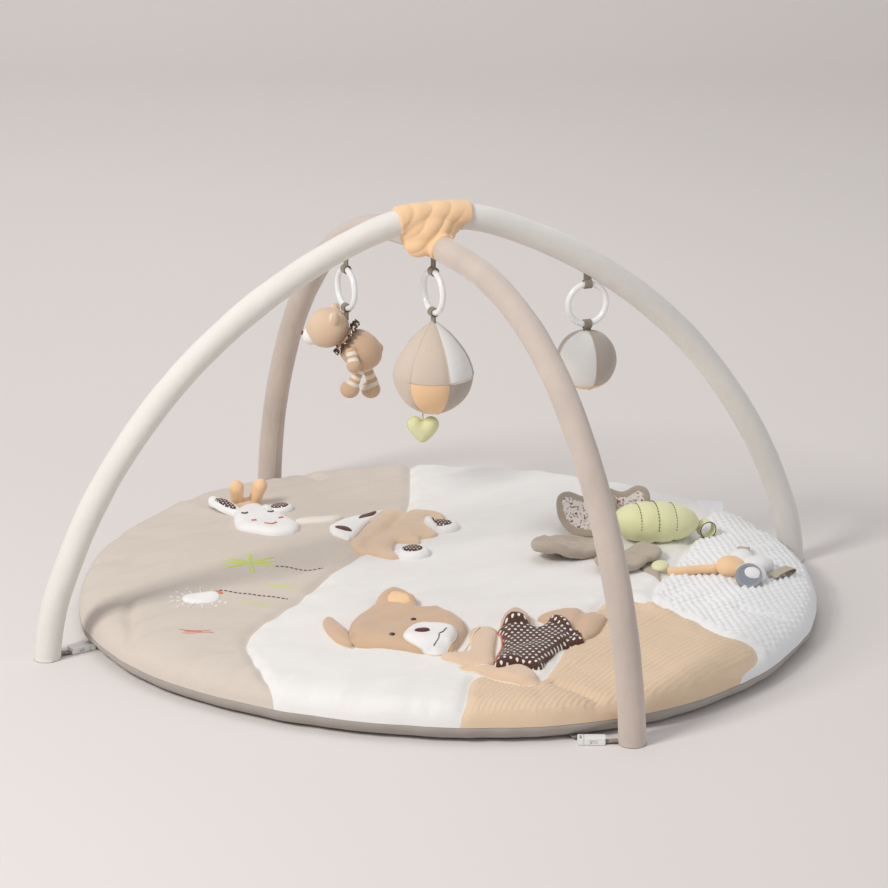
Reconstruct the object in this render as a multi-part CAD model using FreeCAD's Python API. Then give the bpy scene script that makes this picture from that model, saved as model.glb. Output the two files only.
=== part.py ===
import FreeCAD, Part
import math
import os
from FreeCAD import Vector

# Baby play gym: a round padded mat, two crossing padded arches that buckle to the mat's edge,
# three toys on plastic rings, and soft toys and appliques sewn to the mat.
# Frame: origin on the floor under the crown, +X along the white arch, +Z up. Millimetres.

# ---------------------------------------------------------------- driving dimensions
HALF_SPAN = 490.0            # floor centre to a foot's centreline, both arches
WHITE_HEIGHT = 497.0         # crown height of the white arch's centreline
TUBE_RADIUS = 16.0           # padded arch, outside
CROWN_GAP = 2.3              # daylight between the two arches where they cross
CROSSING_DEG = 96.25         # azimuth of the taupe arch's back foot
COVER_WALL = 1.4             # velour sleeve
ROD_RADIUS = 3.2             # glass-fibre rod
ROD_BORE = 3.3               # hole through the foam
FERRULE_LENGTH = 70.0        # sleeve that joins two rods
FERRULE_WALL = 0.8
CAP_HEIGHT = 9.0             # moulded plug in each tube end
CAP_FLANGE = 2.0
SPIGOT_RADIUS = 6.2
BELOW_FLOOR = 12.0           # the tubes are drawn past the floor and cut off level with it

# Where the arcs of each arch meet, as shares of its half span and height.
WHITE_JOINS = [(0.172, 0.969), (0.960, 0.185)]
TAUPE_JOINS = [(0.200, 0.991), (0.753, 0.679)]

MAT_THICKNESS = 45.0
MAT_FABRIC = 3.0             # cover fabric with its quilting layer
MAT_SEAM_HEIGHT = 19.0       # where the grey underside meets the top panels
# Edge of the soft mat at eight azimuths, measured outwards from the circle that straight buckles
# would reach in to: it is pulled out of round by its buckles.
MAT_EDGE = [(-174, 3), (-132, -11), (-84, 23), (-40, 33), (0, 29), (45, 19), (96, 29), (140, 11)]
# How far each level of the rounded rim stands in from the widest line: (height, inset).
MAT_RIM = [(0, 20), (4, 10), (10, 3), (20, 0), (29, 3), (36, 8), (41, 16), (45, 34)]

RING_RADIUS = 25.2           # centreline of a plastic hanging ring
RING_SECTION = 3.8
LOOP_CLEARANCE = 0.9         # webbing loop round the ring
WEBBING = 1.2
WEBBING_WIDTH = 10.0

BALL_RADIUS = 50.0
BALL_TOP = 67.0              # widest line up to the pointed top
BALL_BOTTOM = 51.0
MOVEMENT_RADIUS = 26.0       # musical movement's casing
MOVEMENT_HEIGHT = 30.0
PULL_OFFSET = Vector(-12.0, 4.6, 0)
PULL_CORD_RADIUS = 1.0
PULL_VISIBLE = 6.0           # cord between the ball and the heart at rest
HEART_WIDTH = 38.0
HEART_THICKNESS = 20.5
HEART_TIP_RADIUS = 3.0
SMALL_BALL_RADIUS = 38.0
RATTLE_RADIUS = 12.0

BUCKLE_LENGTH = 24.0
BUCKLE_WIDTH = 15.0
BUCKLE_THICKNESS = 7.0
BUCKLE_WALL = 1.3
BUCKLE_CLEARANCE = 0.35
BUCKLE_REACH = 42.0          # foot centre to the buckle's centre
BUCKLE_REST = 0.6            # underside of the buckle above the floor
TONGUE_OUT = 7.0             # tongue's bar outside the housing
PRONG_WIDTH = 2.6            # each of the tongue's two spring prongs
SLOT_WIDTH = 2.4             # slot in the bar, for the mat's tab
STRAP_THICKNESS = 1.6
STRAP_WIDTH = 9.0
STRAP_START = 6.0            # the strap is sewn in under the tube, this far from its centre
STRAP_BASE = 0.9
TAB_LENGTH = 34.0            # mat tab, most of it inside the mat's seam
TAB_CLEARANCE = 0.8
TAB_BASE = 2.4

UP = Vector(0, 0, 1)
X_AXIS = Vector(1, 0, 0)
Y_AXIS = Vector(0, 1, 0)
ORIGIN = Vector(0, 0, 0)
parts = {}


# ---------------------------------------------------------------- small helpers
def add(name, *shapes):
    """Keep one node: a single solid, or a group of separate ones."""
    solids = [solid for shape in shapes for solid in shape.Solids]
    parts[name] = solids[0] if len(solids) == 1 else Part.makeCompound(solids)


def polar(radius, azimuth_deg, height=0.0):
    angle = math.radians(azimuth_deg)
    return Vector(radius * math.cos(angle), radius * math.sin(angle), height)


def turned(shape, azimuth_deg):
    """A copy turned about the vertical axis through the origin."""
    copy = shape.copy()
    copy.rotate(ORIGIN, UP, azimuth_deg)
    return copy


def moved(shape, offset):
    copy = shape.copy()
    copy.translate(offset)
    return copy


def ellipsoid(centre, size_x, size_y, size_z, azimuth_deg=0.0, tilt_deg=0.0):
    """Full ellipsoid from its three radii, tilted about its own Y and then turned."""
    matrix = FreeCAD.Matrix()
    matrix.scale(size_x, size_y, size_z)
    ball = Part.makeSphere(1.0).transformGeometry(matrix)
    ball.rotate(ORIGIN, Y_AXIS, tilt_deg)
    ball.rotate(ORIGIN, UP, azimuth_deg)
    return moved(ball, centre)


def capsule(start, end, radius):
    """Round-ended bar between two points."""
    axis = end - start
    bar = Part.makeCylinder(radius, axis.Length, start, axis)
    return bar.fuse([Part.makeSphere(radius, start), Part.makeSphere(radius, end)]).removeSplitter()


def pad(centre, length, width, thickness, azimuth_deg, base):
    """Oval sewn pad that stands on a surface: a flat-bottomed pillow with a rounded top edge."""
    major, minor = max(length, width) / 2, min(length, width) / 2
    oval = Part.Ellipse(ORIGIN, major, minor).toShape()
    block = Part.Face(Part.Wire(oval)).extrude(UP * thickness)
    top = [edge for edge in block.Edges if edge.BoundBox.ZMin > thickness / 2]
    block = block.makeFillet(min(thickness * 0.6, minor * 0.45), top)
    block.rotate(ORIGIN, UP, azimuth_deg + (0 if length >= width else 90))
    return moved(block, Vector(centre[0], centre[1], base))


def box_between(start, end, width, thickness, base):
    """Flat strip lying along a line in plan."""
    run = Vector(end.x - start.x, end.y - start.y, 0)
    strip = Part.makeBox(run.Length, width, thickness, Vector(0, -width / 2, 0))
    strip.rotate(ORIGIN, UP, math.degrees(math.atan2(run.y, run.x)))
    return moved(strip, Vector(start.x, start.y, base))


# ---------------------------------------------------------------- arches
def next_join(point, heading, target):
    """Arc from point, leaving along heading, to target: its middle point and its end heading."""
    chord = target - point
    half_turn = math.atan2(heading.x * chord.z - heading.z * chord.x, heading.dot(chord))
    if abs(half_turn) < 1e-9:
        return point + chord * 0.5, heading
    radius = chord.Length / (2 * math.sin(half_turn))
    across = Vector(-chord.z, 0, chord.x) / chord.Length
    middle = point + chord * 0.5 - across * radius * (1 - math.cos(half_turn))
    turn = 2 * half_turn
    cosine, sine = math.cos(turn), math.sin(turn)
    end_heading = Vector(heading.x * cosine - heading.z * sine, 0, heading.x * sine + heading.z * cosine)
    return middle, end_heading


def half_arch(height, joins):
    """Points of the right half, crown to foot: each arc's end and middle, and the heading at the foot."""
    ends = [Vector(share_x * HALF_SPAN, 0, share_z * height) for share_x, share_z in joins]
    ends.append(Vector(HALF_SPAN, 0, 0))
    point, heading = Vector(0, 0, height), X_AXIS
    arcs = []
    for target in ends:
        middle, heading = next_join(point, heading, target)
        arcs.append((point, middle, target))
        point = target
    return arcs, heading


def mirrored(point):
    """The same place on the arch's left half."""
    return Vector(-point.x, point.y, point.z)


def arch_edges(height, joins, first=-1, last=1):
    """Edges of the arch from its left foot to its right foot, or one half of it, run on below the floor."""
    arcs, heading = half_arch(height, joins)
    foot = arcs[-1][2]
    below = foot + heading * BELOW_FLOOR
    right = [Part.Arc(*arc).toShape() for arc in arcs] + [Part.makeLine(foot, below)]
    edges = []
    if first < 0:
        edges.append(Part.makeLine(mirrored(below), mirrored(foot)))
        for start, middle, end in reversed(arcs):
            edges.append(Part.Arc(mirrored(end), mirrored(middle), mirrored(start)).toShape())
    if last > 0:
        edges += right
    return edges


def sweep(edges, radius):
    """Round bar along joined arcs."""
    path = Part.Wire(edges)
    start = edges[0].valueAt(edges[0].FirstParameter)
    heading = edges[0].tangentAt(edges[0].FirstParameter)
    circle = Part.Wire(Part.makeCircle(radius, start, heading))
    return path.makePipeShell([circle], True, False)


def arch_point(height, joins, reach):
    """Centreline height and slope angle at a distance from the crown's axis."""
    for start, middle, end in half_arch(height, joins)[0]:
        if start.x <= reach <= end.x:
            arc = Part.Arc(start, middle, end).toShape()
            upright = Part.makeLine(Vector(reach, 0, -50), Vector(reach, 0, 2 * height))
            point = arc.distToShape(upright)[1][0][0]
            tangent = arc.tangentAt(arc.Curve.parameter(point))
            return point.z, math.degrees(math.atan2(abs(tangent.z), abs(tangent.x)))
    raise ValueError("outside the arch")


def slab(bottom, top):
    """Everything between two levels."""
    size = 4 * HALF_SPAN
    return Part.makeBox(size, size, top - bottom, Vector(-size / 2, -size / 2, bottom))


def foot_cap(inside, side):
    """Moulded end plug: a flange under the foam, and a spigot bored for the rod."""
    foot = Vector(side * HALF_SPAN, 0, 0)
    around = Part.makeCylinder(4 * TUBE_RADIUS, CAP_FLANGE, foot)
    spigot = Part.makeCylinder(SPIGOT_RADIUS, CAP_HEIGHT, foot)
    bore = Part.makeCylinder(ROD_BORE, CAP_HEIGHT, foot + UP * CAP_FLANGE)
    return inside.common(around).fuse(spigot).cut(bore).removeSplitter()


def make_arch(name, height, joins, azimuth_deg):
    """Velour cover, foam, two rods, their ferrule and the two end plugs of one arch."""
    whole = arch_edges(height, joins)
    below = slab(-4 * BELOW_FLOOR, 0)
    outside = sweep(whole, TUBE_RADIUS).cut(below)
    inside = sweep(whole, TUBE_RADIUS - COVER_WALL).cut(below)
    caps = [foot_cap(inside, side) for side in (-1, 1)]
    feet = [Vector(side * HALF_SPAN, 0, 0) for side in (-1, 1)]
    spigots = [Part.makeCylinder(SPIGOT_RADIUS, CAP_HEIGHT, foot) for foot in feet]
    length_box = Part.makeBox(FERRULE_LENGTH, 60, 60, Vector(-FERRULE_LENGTH / 2, -30, height - 40))
    ferrule_solid = sweep(whole, ROD_RADIUS + FERRULE_WALL).common(length_box)
    ferrule = ferrule_solid.cut(sweep(whole, ROD_RADIUS))
    under_rods = slab(-4 * BELOW_FLOOR, CAP_FLANGE)
    foam = inside.cut([sweep(whole, ROD_BORE), ferrule_solid, under_rods] + spigots)
    rods = []
    for first, last in ((-1, 0), (0, 1)):
        rod = sweep(arch_edges(height, joins, first, last), ROD_RADIUS)
        rods.append(rod.cut(under_rods).cut(caps))
    add(name + "_cover", turned(outside.cut(inside), azimuth_deg))
    add(name + "_foam", turned(foam, azimuth_deg))
    add(name + "_rods", *[turned(rod, azimuth_deg) for rod in rods])
    add(name + "_ferrule", turned(ferrule, azimuth_deg))
    add(name + "_end_caps", *[turned(cap, azimuth_deg) for cap in caps])
    return outside


TAUPE_HEIGHT = WHITE_HEIGHT - 2 * TUBE_RADIUS - CROWN_GAP
white_tube = make_arch("white", WHITE_HEIGHT, WHITE_JOINS, 0)
taupe_tube = make_arch("taupe", TAUPE_HEIGHT, TAUPE_JOINS, CROSSING_DEG)


# ---------------------------------------------------------------- crown wrap
WRAP_LENGTH = 74.0
WRAP_THICKNESS = 2.0
WRAP_GAP = 0.4
WRAP_EDGE = 5.0              # each half's open side starts this far from the tube's centreline
TAIL_LENGTH = 46.0


def follow_crown(height, joins, length, opening):
    """The saddle bent to the crown: what of a swept sleeve lies within its length."""
    edges = arch_edges(height, joins)
    inner = TUBE_RADIUS + WRAP_GAP
    sleeve = sweep(edges, inner + WRAP_THICKNESS).cut(sweep(edges, inner))
    window = Part.makeBox(length, 80, 80, Vector(-length / 2, -40, height - 40))
    slot_base = height + (WRAP_EDGE if opening > 0 else -WRAP_EDGE - 60.0)
    return sleeve.common(window).cut(Part.makeBox(2 * length, 80, 60, Vector(-length, -40, slot_base)))


add("crown_wrap", follow_crown(WHITE_HEIGHT, WHITE_JOINS, WRAP_LENGTH, -1))
crown_tail = turned(follow_crown(TAUPE_HEIGHT, TAUPE_JOINS, TAIL_LENGTH, 1), CROSSING_DEG)


# ---------------------------------------------------------------- rings, hangers and toy loops
LOOP_INNER = RING_SECTION + LOOP_CLEARANCE
LOOP_OUTER = LOOP_INNER + WEBBING
# Each hanging place: arch, distance from the crown's axis, azimuth, webbing between tube and ring.
HANGERS = {
    "left": ("taupe", 243.0, CROSSING_DEG, 19.0),
    "middle": ("taupe", 0.0, CROSSING_DEG, 12.0),
    "right": ("white", 201.0, 0.0, 5.0),
}
ARCHES = {"white": (WHITE_HEIGHT, WHITE_JOINS), "taupe": (TAUPE_HEIGHT, TAUPE_JOINS)}


def webbing_loop(centre, neck_up, neck_down):
    """Strip of webbing round a ring, with its sewn neck, in the XZ plane's frame."""
    start = centre - X_AXIS * (WEBBING_WIDTH / 2)
    loop = Part.makeCylinder(LOOP_OUTER, WEBBING_WIDTH, start, X_AXIS)
    for length, side in ((neck_up, 1), (neck_down, -1)):
        if length > 0:
            base = centre.z if side > 0 else centre.z - LOOP_OUTER - length
            neck = Part.makeBox(WEBBING_WIDTH, 2 * WEBBING, LOOP_OUTER + length)
            loop = loop.fuse(moved(neck, Vector(start.x, centre.y - WEBBING, base)))
    return loop.cut(Part.makeCylinder(LOOP_INNER, WEBBING_WIDTH, start, X_AXIS)).removeSplitter()


ring_top = {}
ring_bottom = {}
hanger_shapes = {"white": [], "taupe": []}
for place, (arch, reach, azimuth, neck) in HANGERS.items():
    height, joins = ARCHES[arch]
    level, slope = arch_point(height, joins, reach)
    underside = level - TUBE_RADIUS / math.cos(math.radians(slope))
    top = Vector(reach, 0, underside - neck - LOOP_OUTER)
    hanger = webbing_loop(top, neck + 3 * WEBBING_WIDTH, 0)
    tube = white_tube if arch == "white" else taupe_tube
    hanger_shapes[arch].append(turned(hanger.cut(tube), azimuth))
    ring = Part.makeTorus(RING_RADIUS, RING_SECTION, top - UP * RING_RADIUS, Y_AXIS)
    add("ring_" + place, turned(ring, azimuth))
    ring_top[place] = turned(Part.Vertex(top), azimuth).Point
    ring_bottom[place] = ring_top[place] - UP * (2 * RING_RADIUS)
for arch, shapes in hanger_shapes.items():
    lower = []
    for shape in shapes:
        lower.append(min(shape.Solids, key=lambda solid: solid.BoundBox.ZMin))
    add(arch + "_hangers", *lower)
add("crown_tail", crown_tail.cut(parts["taupe_hangers"]))


def toy_loop(place, azimuth_deg, neck):
    """Loop sewn to the top of a toy, round the bottom of its ring."""
    bottom = ring_bottom[place]
    loop = webbing_loop(ORIGIN, 0, neck)
    return moved(turned(loop, azimuth_deg), bottom)


# ---------------------------------------------------------------- music ball
BALL_NECK = 4.0
ball_peak = ring_bottom["middle"] - UP * (LOOP_OUTER + BALL_NECK)
ball_waist = ball_peak.z - BALL_TOP


def ball_profile(shrink):
    """Teardrop outline, point up, revolved about its own axis."""
    radius = BALL_RADIUS - shrink
    peak = Vector(0, 0, ball_peak.z - shrink)
    shoulder = Vector(radius * 0.66, 0, ball_waist + (BALL_TOP - shrink) * 0.57)
    waist = Vector(radius, 0, ball_waist)
    hip = Vector(radius * 0.74, 0, ball_waist - (BALL_BOTTOM - shrink) * 0.66)
    foot = Vector(0, 0, ball_waist - BALL_BOTTOM + shrink)
    edges = [Part.Arc(peak, shoulder, waist).toShape(), Part.Arc(waist, hip, foot).toShape()]
    edges.append(Part.makeLine(foot, peak))
    return Part.Face(Part.Wire(edges)).revolve(ORIGIN, UP, 360)


ball_outside = ball_profile(0)
movement_base = Vector(PULL_OFFSET.x, PULL_OFFSET.y, ball_waist - MOVEMENT_HEIGHT / 2)
movement = Part.makeCylinder(MOVEMENT_RADIUS, MOVEMENT_HEIGHT, movement_base, UP)
cord_channel = Part.makeCylinder(PULL_CORD_RADIUS * 2, 2 * BALL_BOTTOM, movement_base, UP * -1)
music_ball = ball_outside.cut([movement, cord_channel])
add("music_ball", music_ball)
add("music_movement", movement)
add("top_loop_middle", toy_loop("middle", CROSSING_DEG, BALL_NECK + 3.0).cut(ball_outside))

pull_line = Part.makeLine(movement_base, movement_base - UP * 3 * BALL_BOTTOM)
ball_foot = ball_outside.common(pull_line).BoundBox.ZMin
heart_top = ball_foot - PULL_VISIBLE


def heart(width, thickness, top):
    """Plump heart in the plane of the pull, point down: two balls that taper to a rounded tip."""
    lobe = thickness / 2
    lobe_height = top.z - lobe
    tip = Vector(0, 0, lobe_height - width * 0.55)
    pieces = [Part.makeSphere(HEART_TIP_RADIUS, tip)]
    for side in (-1, 1):
        start = Vector(side * (width / 2 - lobe), 0, lobe_height)
        axis = start - tip
        taper = Part.makeCone(HEART_TIP_RADIUS, lobe * 0.97, axis.Length * 0.93, tip, axis)
        pieces += [Part.makeSphere(lobe, start), taper]
    body = pieces[0].fuse(pieces[1:])
    body.translate(Vector(top.x, top.y, 0))
    return body


HEART_TURN = -21.0           # the heart's face, about its own cord
heart_shape = heart(HEART_WIDTH, HEART_THICKNESS, Vector(0, 0, heart_top))
heart_shape.rotate(ORIGIN, UP, HEART_TURN)
heart_shape = moved(heart_shape, PULL_OFFSET)
add("heart", heart_shape)
heart_dip = heart_shape.common(pull_line).BoundBox.ZMax
cord_end = Vector(PULL_OFFSET.x, PULL_OFFSET.y, heart_dip)
pull_cord = Part.makeCylinder(PULL_CORD_RADIUS, movement_base.z - heart_dip, cord_end)
add("pull_cord", pull_cord.cut(heart_shape))

# ---------------------------------------------------------------- small ball
SMALL_NECK = 1.5
small_centre = ring_bottom["right"] - UP * (LOOP_OUTER + SMALL_NECK + SMALL_BALL_RADIUS)
rattle = Part.makeSphere(RATTLE_RADIUS, small_centre)
small_ball = Part.makeSphere(SMALL_BALL_RADIUS, small_centre)
add("top_loop_right", toy_loop("right", 0, SMALL_NECK + 3.0).cut(small_ball))
add("small_ball", small_ball.cut(rattle))
add("rattle", rattle.cut(Part.makeSphere(RATTLE_RADIUS - 1.5, small_centre)))

# ---------------------------------------------------------------- hanging bear
BEAR_HEADING = 159.0         # the way its nose points
BEAR_NECK = 12.0             # webbing from the ring down into the head's seam
SCARF_RADIUS = 17.0
SCARF_SECTION = 6.0
bear_hang = ring_bottom["left"] - UP * LOOP_OUTER


def bear_point(forward, down, side=0.0):
    """A place on the hanging bear: forward of its loop, below it, and to its side."""
    return bear_hang + polar(forward, BEAR_HEADING) + polar(side, BEAR_HEADING + 90) - UP * down


bear_head = ellipsoid(bear_point(24, 20), 28, 26, 26, BEAR_HEADING, 25)
bear_head = bear_head.fuse(ellipsoid(bear_point(47, 31), 10, 10, 9, BEAR_HEADING))
for side in (-1, 1):
    bear_head = bear_head.fuse(ellipsoid(bear_point(14, 2, side * 21), 9, 5, 9, BEAR_HEADING))
bear_body = ellipsoid(bear_point(-17, 49), 30, 25, 25, BEAR_HEADING, -35)
neck_plane = bear_point(0, 33)
bear_axis = (bear_point(24, 20) - bear_point(-17, 49)).normalize()
scarf = Part.makeTorus(SCARF_RADIUS, SCARF_SECTION, neck_plane, bear_axis).cut(bear_body)
scarf = max(scarf.Solids, key=lambda solid: solid.Volume)
bear_head = bear_head.cut([bear_body, scarf])
limbs = []
for side, arm_drop in ((-1, 50), (1, 44)):
    shoulder = bear_point(-6, 42, side * 20)
    limbs.append(capsule(shoulder, bear_point(-14 + 4 * side, arm_drop + 18, side * 31), 7.5))
    hip = bear_point(-20, 64, side * 11)
    ankle = bear_point(-21 + 13 * side, 96 - 4 * side, side * 13)
    foot = ellipsoid(ankle + polar(4, BEAR_HEADING) - UP * 6, 13, 11, 12)
    limbs.append(capsule(hip, ankle, 8.0).fuse(foot))
limb_solids = [limb.cut([bear_body, bear_head, scarf]) for limb in limbs]
add("bear_toy_head", max(bear_head.Solids, key=lambda solid: solid.Volume))
add("bear_toy_body", max(bear_body.Solids, key=lambda solid: solid.Volume))
add("bear_toy_limbs", *[max(limb.Solids, key=lambda solid: solid.Volume) for limb in limb_solids])
add("bear_toy_scarf", scarf)
bear_solids = [bear_head, bear_body, scarf] + limb_solids
bear_loop = toy_loop("left", CROSSING_DEG, BEAR_NECK).cut(bear_solids)
add("top_loop_left", max(bear_loop.Solids, key=lambda solid: solid.BoundBox.ZMax))


# ---------------------------------------------------------------- mat
def mat_outline(height, inset):
    """Closed smooth outline of the mat at one height."""
    curve = Part.BSplineCurve()
    buckled_circle = HALF_SPAN - BUCKLE_REACH - BUCKLE_LENGTH / 2 - TONGUE_OUT
    points = [polar(buckled_circle + out - inset, azimuth, height) for azimuth, out in MAT_EDGE]
    curve.interpolate(Points=points, PeriodicFlag=True)
    return Part.Wire(curve.toShape())


def mat_solid(shrink):
    """The mat's pillow shape, or the wadding that its fabric leaves room for."""
    levels = []
    for height, inset in MAT_RIM:
        level = shrink + height * (MAT_THICKNESS - 2 * shrink) / MAT_RIM[-1][0]
        levels.append(mat_outline(level, inset + shrink))
    return Part.makeLoft(levels, True, True)


def seam_region(points):
    """Prism over a region of the mat, bounded by its seams."""
    corners = [Vector(*point, 0) for point in points]
    outline = Part.makePolygon(corners + corners[:1])
    return Part.Face(outline).extrude(UP * 2 * MAT_THICKNESS)


mat = mat_solid(0)
wadding = mat_solid(MAT_FABRIC)
under_seam = slab(-MAT_THICKNESS, MAT_SEAM_HEIGHT)
fabric = mat.cut(wadding)
add("mat_underside", fabric.common(under_seam))
add("mat_wadding", wadding)
top_fabric = fabric.cut(under_seam)
# Seams of the patchwork, as corners in plan; each region is closed by corners outside the mat.
BEIGE_SEAM = [(128, 424), (53, 237), (-8, 151), (-184, -33), (-286, -139), (-340, -330)]
BUBBLE_TOP_SEAM = [(430, 119), (340, -15), (231, -151), (210, -196)]
BUBBLE_SIDE_SEAM = [(210, -196), (232, -280), (262, -370), (246, -458)]
CORDUROY_SEAM = [(210, -196), (148, -176), (-13, -377), (-73, -338), (-114, -404), (-145, -478)]
BEIGE_REGION = BEIGE_SEAM + [(-600, -500), (-600, 600), (160, 600)]
BUBBLE_REGION = BUBBLE_TOP_SEAM + BUBBLE_SIDE_SEAM[1:] + [(300, -600), (600, -500), (600, 150)]
CORDUROY_REGION = BUBBLE_SIDE_SEAM[::-1] + CORDUROY_SEAM[1:] + [(-160, -600), (300, -600)]
beige = seam_region(BEIGE_REGION)
bubble = seam_region(BUBBLE_REGION)
corduroy = seam_region(CORDUROY_REGION)
add("panel_beige", top_fabric.common(beige))
add("panel_bubble", top_fabric.common(bubble))
add("panel_corduroy", top_fabric.common(corduroy))
add("panel_white", top_fabric.cut([beige, bubble, corduroy]))
TOP = MAT_THICKNESS

# ---------------------------------------------------------------- appliques: bear and giraffe
BEAR_TILT = -27.0            # the applique bear lies along this direction
head_pad = pad((-104, -165), 122, 104, 14, BEAR_TILT, TOP)
muzzle_pad = pad((-85, -197), 62, 44, 7, BEAR_TILT, TOP + 14)
ear_far = pad((-62, -96), 46, 40, 12, BEAR_TILT, TOP).cut(head_pad)
ear_near = pad((-168, -148), 46, 40, 12, BEAR_TILT, TOP).cut(head_pad)
add("bear_head", head_pad.fuse(muzzle_pad), ear_far, ear_near)
shorts = pad((34, -258), 118, 84, 12, BEAR_TILT - 10, TOP)
add("bear_shorts", shorts)
arm = pad((-18, -236), 74, 42, 10, -40, TOP).cut([head_pad, shorts])
paw = pad((40, -178), 38, 34, 22, 0, TOP).cut(shorts)
leg_far = pad((116, -246), 86, 44, 11, 30, TOP).cut(shorts)
leg_near = pad((78, -318), 86, 44, 11, -30, TOP).cut([shorts, leg_far])
bear_limbs = [max(shape.Solids, key=lambda solid: solid.Volume) for shape in (arm, paw, leg_far, leg_near)]
add("bear_limbs", *bear_limbs)

GIRAFFE_TILT = -34.0
face = pad((-125, 283), 96, 66, 12, GIRAFFE_TILT, TOP)
horns = []
for x, y in ((-112, 346), (-84, 338)):
    horns.append(capsule(Vector(x, y, TOP + 9), Vector(x - 6, y + 16, TOP + 34), 8.0))
ears = []
for place, angle in (((-178, 318), -60), ((-68, 322), 10)):
    ear = pad(place, 52, 26, 9, angle, TOP).cut([face] + horns)
    ears.append(max(ear.Solids, key=lambda solid: solid.Volume))
add("giraffe_head", face)
add("giraffe_ears", *horns, *ears)
giraffe = pad((4, 172), 150, 96, 10, GIRAFFE_TILT, TOP)
neck_strip = pad((-58, 228), 60, 34, 8, GIRAFFE_TILT, TOP).cut([giraffe, face])
soles = [pad(place, 34, 26, 16, GIRAFFE_TILT, TOP).cut(giraffe) for place in ((86, 152), (18, 88))]
soles = [max(sole.Solids, key=lambda solid: solid.Volume) for sole in soles]
add("giraffe_body", giraffe, max(neck_strip.Solids, key=lambda solid: solid.Volume))
add("giraffe_soles", *soles)

# ---------------------------------------------------------------- bug toy
bug_centre = Vector(302, 8, TOP + 27)
bug_body = ellipsoid(bug_centre, 56, 31, 26, -8, 4)
TAIL_INNER = 9.0
tail_centre = Vector(368, -1, TOP + 13)
tail_start = tail_centre - Y_AXIS * 7
tail = Part.makeCylinder(TAIL_INNER + 3.0, 14.0, tail_start, Y_AXIS)
tail = tail.cut(Part.makeCylinder(TAIL_INNER, 14.0, tail_start, Y_AXIS)).cut(bug_body)
add("bug_tail_loop", max(tail.Solids, key=lambda solid: solid.Volume))
wings = []
# Wing: centre, radii along, across and up, azimuth, tilt.
for centre, radii, azimuth, tilt in (
    ((236, 62, TOP + 38), (34, 30, 5), 60, -58),
    ((286, 66, TOP + 36), (32, 28, 5), 75, -62),
    ((176, -6, TOP + 10), (50, 32, 7), 12, 6),
    ((232, -66, TOP + 8), (52, 32, 6), 35, 4),
):
    wing = ellipsoid(Vector(*centre), *radii, azimuth, tilt).cut([bug_body] + wings)
    wing = wing.cut(Part.makeBox(400, 400, 100, Vector(0, -200, TOP - 100)))
    wings.append(max(wing.Solids, key=lambda solid: solid.Volume))
add("bug_wings", *wings)
add("bug_body", bug_body.cut(Part.makeBox(400, 400, 100, Vector(100, -200, TOP - 100))))

# ---------------------------------------------------------------- flower toy with the mirror
stem = capsule(Vector(264, -120, TOP + 7), Vector(316, -132, TOP + 8), 7.0)
blossom_centre = Vector(338, -142, TOP + 13)
blossom = ellipsoid(blossom_centre, 19, 19, 13)
MIRROR_RADIUS = 14.0
mirror_axis = Vector(-0.30, -0.62, 0.72)
mirror_centre = Vector(340, -184, TOP + 14)
glass = Part.makeCylinder(MIRROR_RADIUS, 2.0, mirror_centre, mirror_axis)
rim = Part.makeCylinder(MIRROR_RADIUS + 2.5, 4.0, mirror_centre - mirror_axis * 1.2, mirror_axis).cut(glass)
rim = rim.cut(Part.makeCylinder(MIRROR_RADIUS - 1.0, 10.0, mirror_centre, mirror_axis))
add("flower_mirror", glass)
add("mirror_rim", rim)
mirror_room = Part.makeCylinder(MIRROR_RADIUS + 2.6, 4.4, mirror_centre - mirror_axis * 1.3, mirror_axis)
petals = []
for azimuth in (-70, -10, 45):
    petal_centre = blossom_centre + polar(32, azimuth, 0)
    petal = ellipsoid(petal_centre, 21, 17, 12, azimuth).cut([blossom] + petals).cut(mirror_room)
    petals.append(max(petal.Solids, key=lambda solid: solid.Volume))
flower_leaf = ellipsoid(Vector(262, -96, TOP + 8), 16, 11, 6, 60).cut([stem] + wings)
petals.append(max(flower_leaf.Solids, key=lambda solid: solid.Volume))
add("flower_toy", stem.cut(blossom), blossom.cut(mirror_room), *petals)
tags = []
for centre, azimuth in (((392, -170), 20), ((374, -96), 60)):
    tag = Part.makeBox(36, 16, 3, Vector(-18, -8, 0)).cut(Part.makeBox(28, 20, 1, Vector(-14, -10, 1)))
    tags.append(moved(turned(tag, azimuth), Vector(*centre, TOP + 0.2)).cut(petals))
add("ribbon_tags", *[max(tag.Solids, key=lambda solid: solid.Volume) for tag in tags])

# ---------------------------------------------------------------- care label
label = Part.makeBox(34, 1.2, 24, Vector(-17, 0, 0))
label.rotate(ORIGIN, X_AXIS, -50)
add("care_label", moved(turned(label, -20), Vector(420, 96, TOP - 8)).cut(mat))


# ---------------------------------------------------------------- buckles at the feet
# Each foot: azimuth, the buckle's direction away from straight inwards, and the arch it belongs to.
FEET = {
    "left": (180.0, 14.0, "white"),
    "right": (0.0, -62.0, "white"),
    "front": (CROSSING_DEG - 180.0, 62.0, "taupe"),
    "back": (CROSSING_DEG, -62.0, "taupe"),
}


def place_buckle(shape, azimuth, skew):
    """Local frame: +X from the foot to the mat, origin at the foot's centre on the floor."""
    copy = turned(shape, 180 + skew)
    copy.translate(Vector(HALF_SPAN, 0, 0))
    return turned(copy, azimuth)


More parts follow.
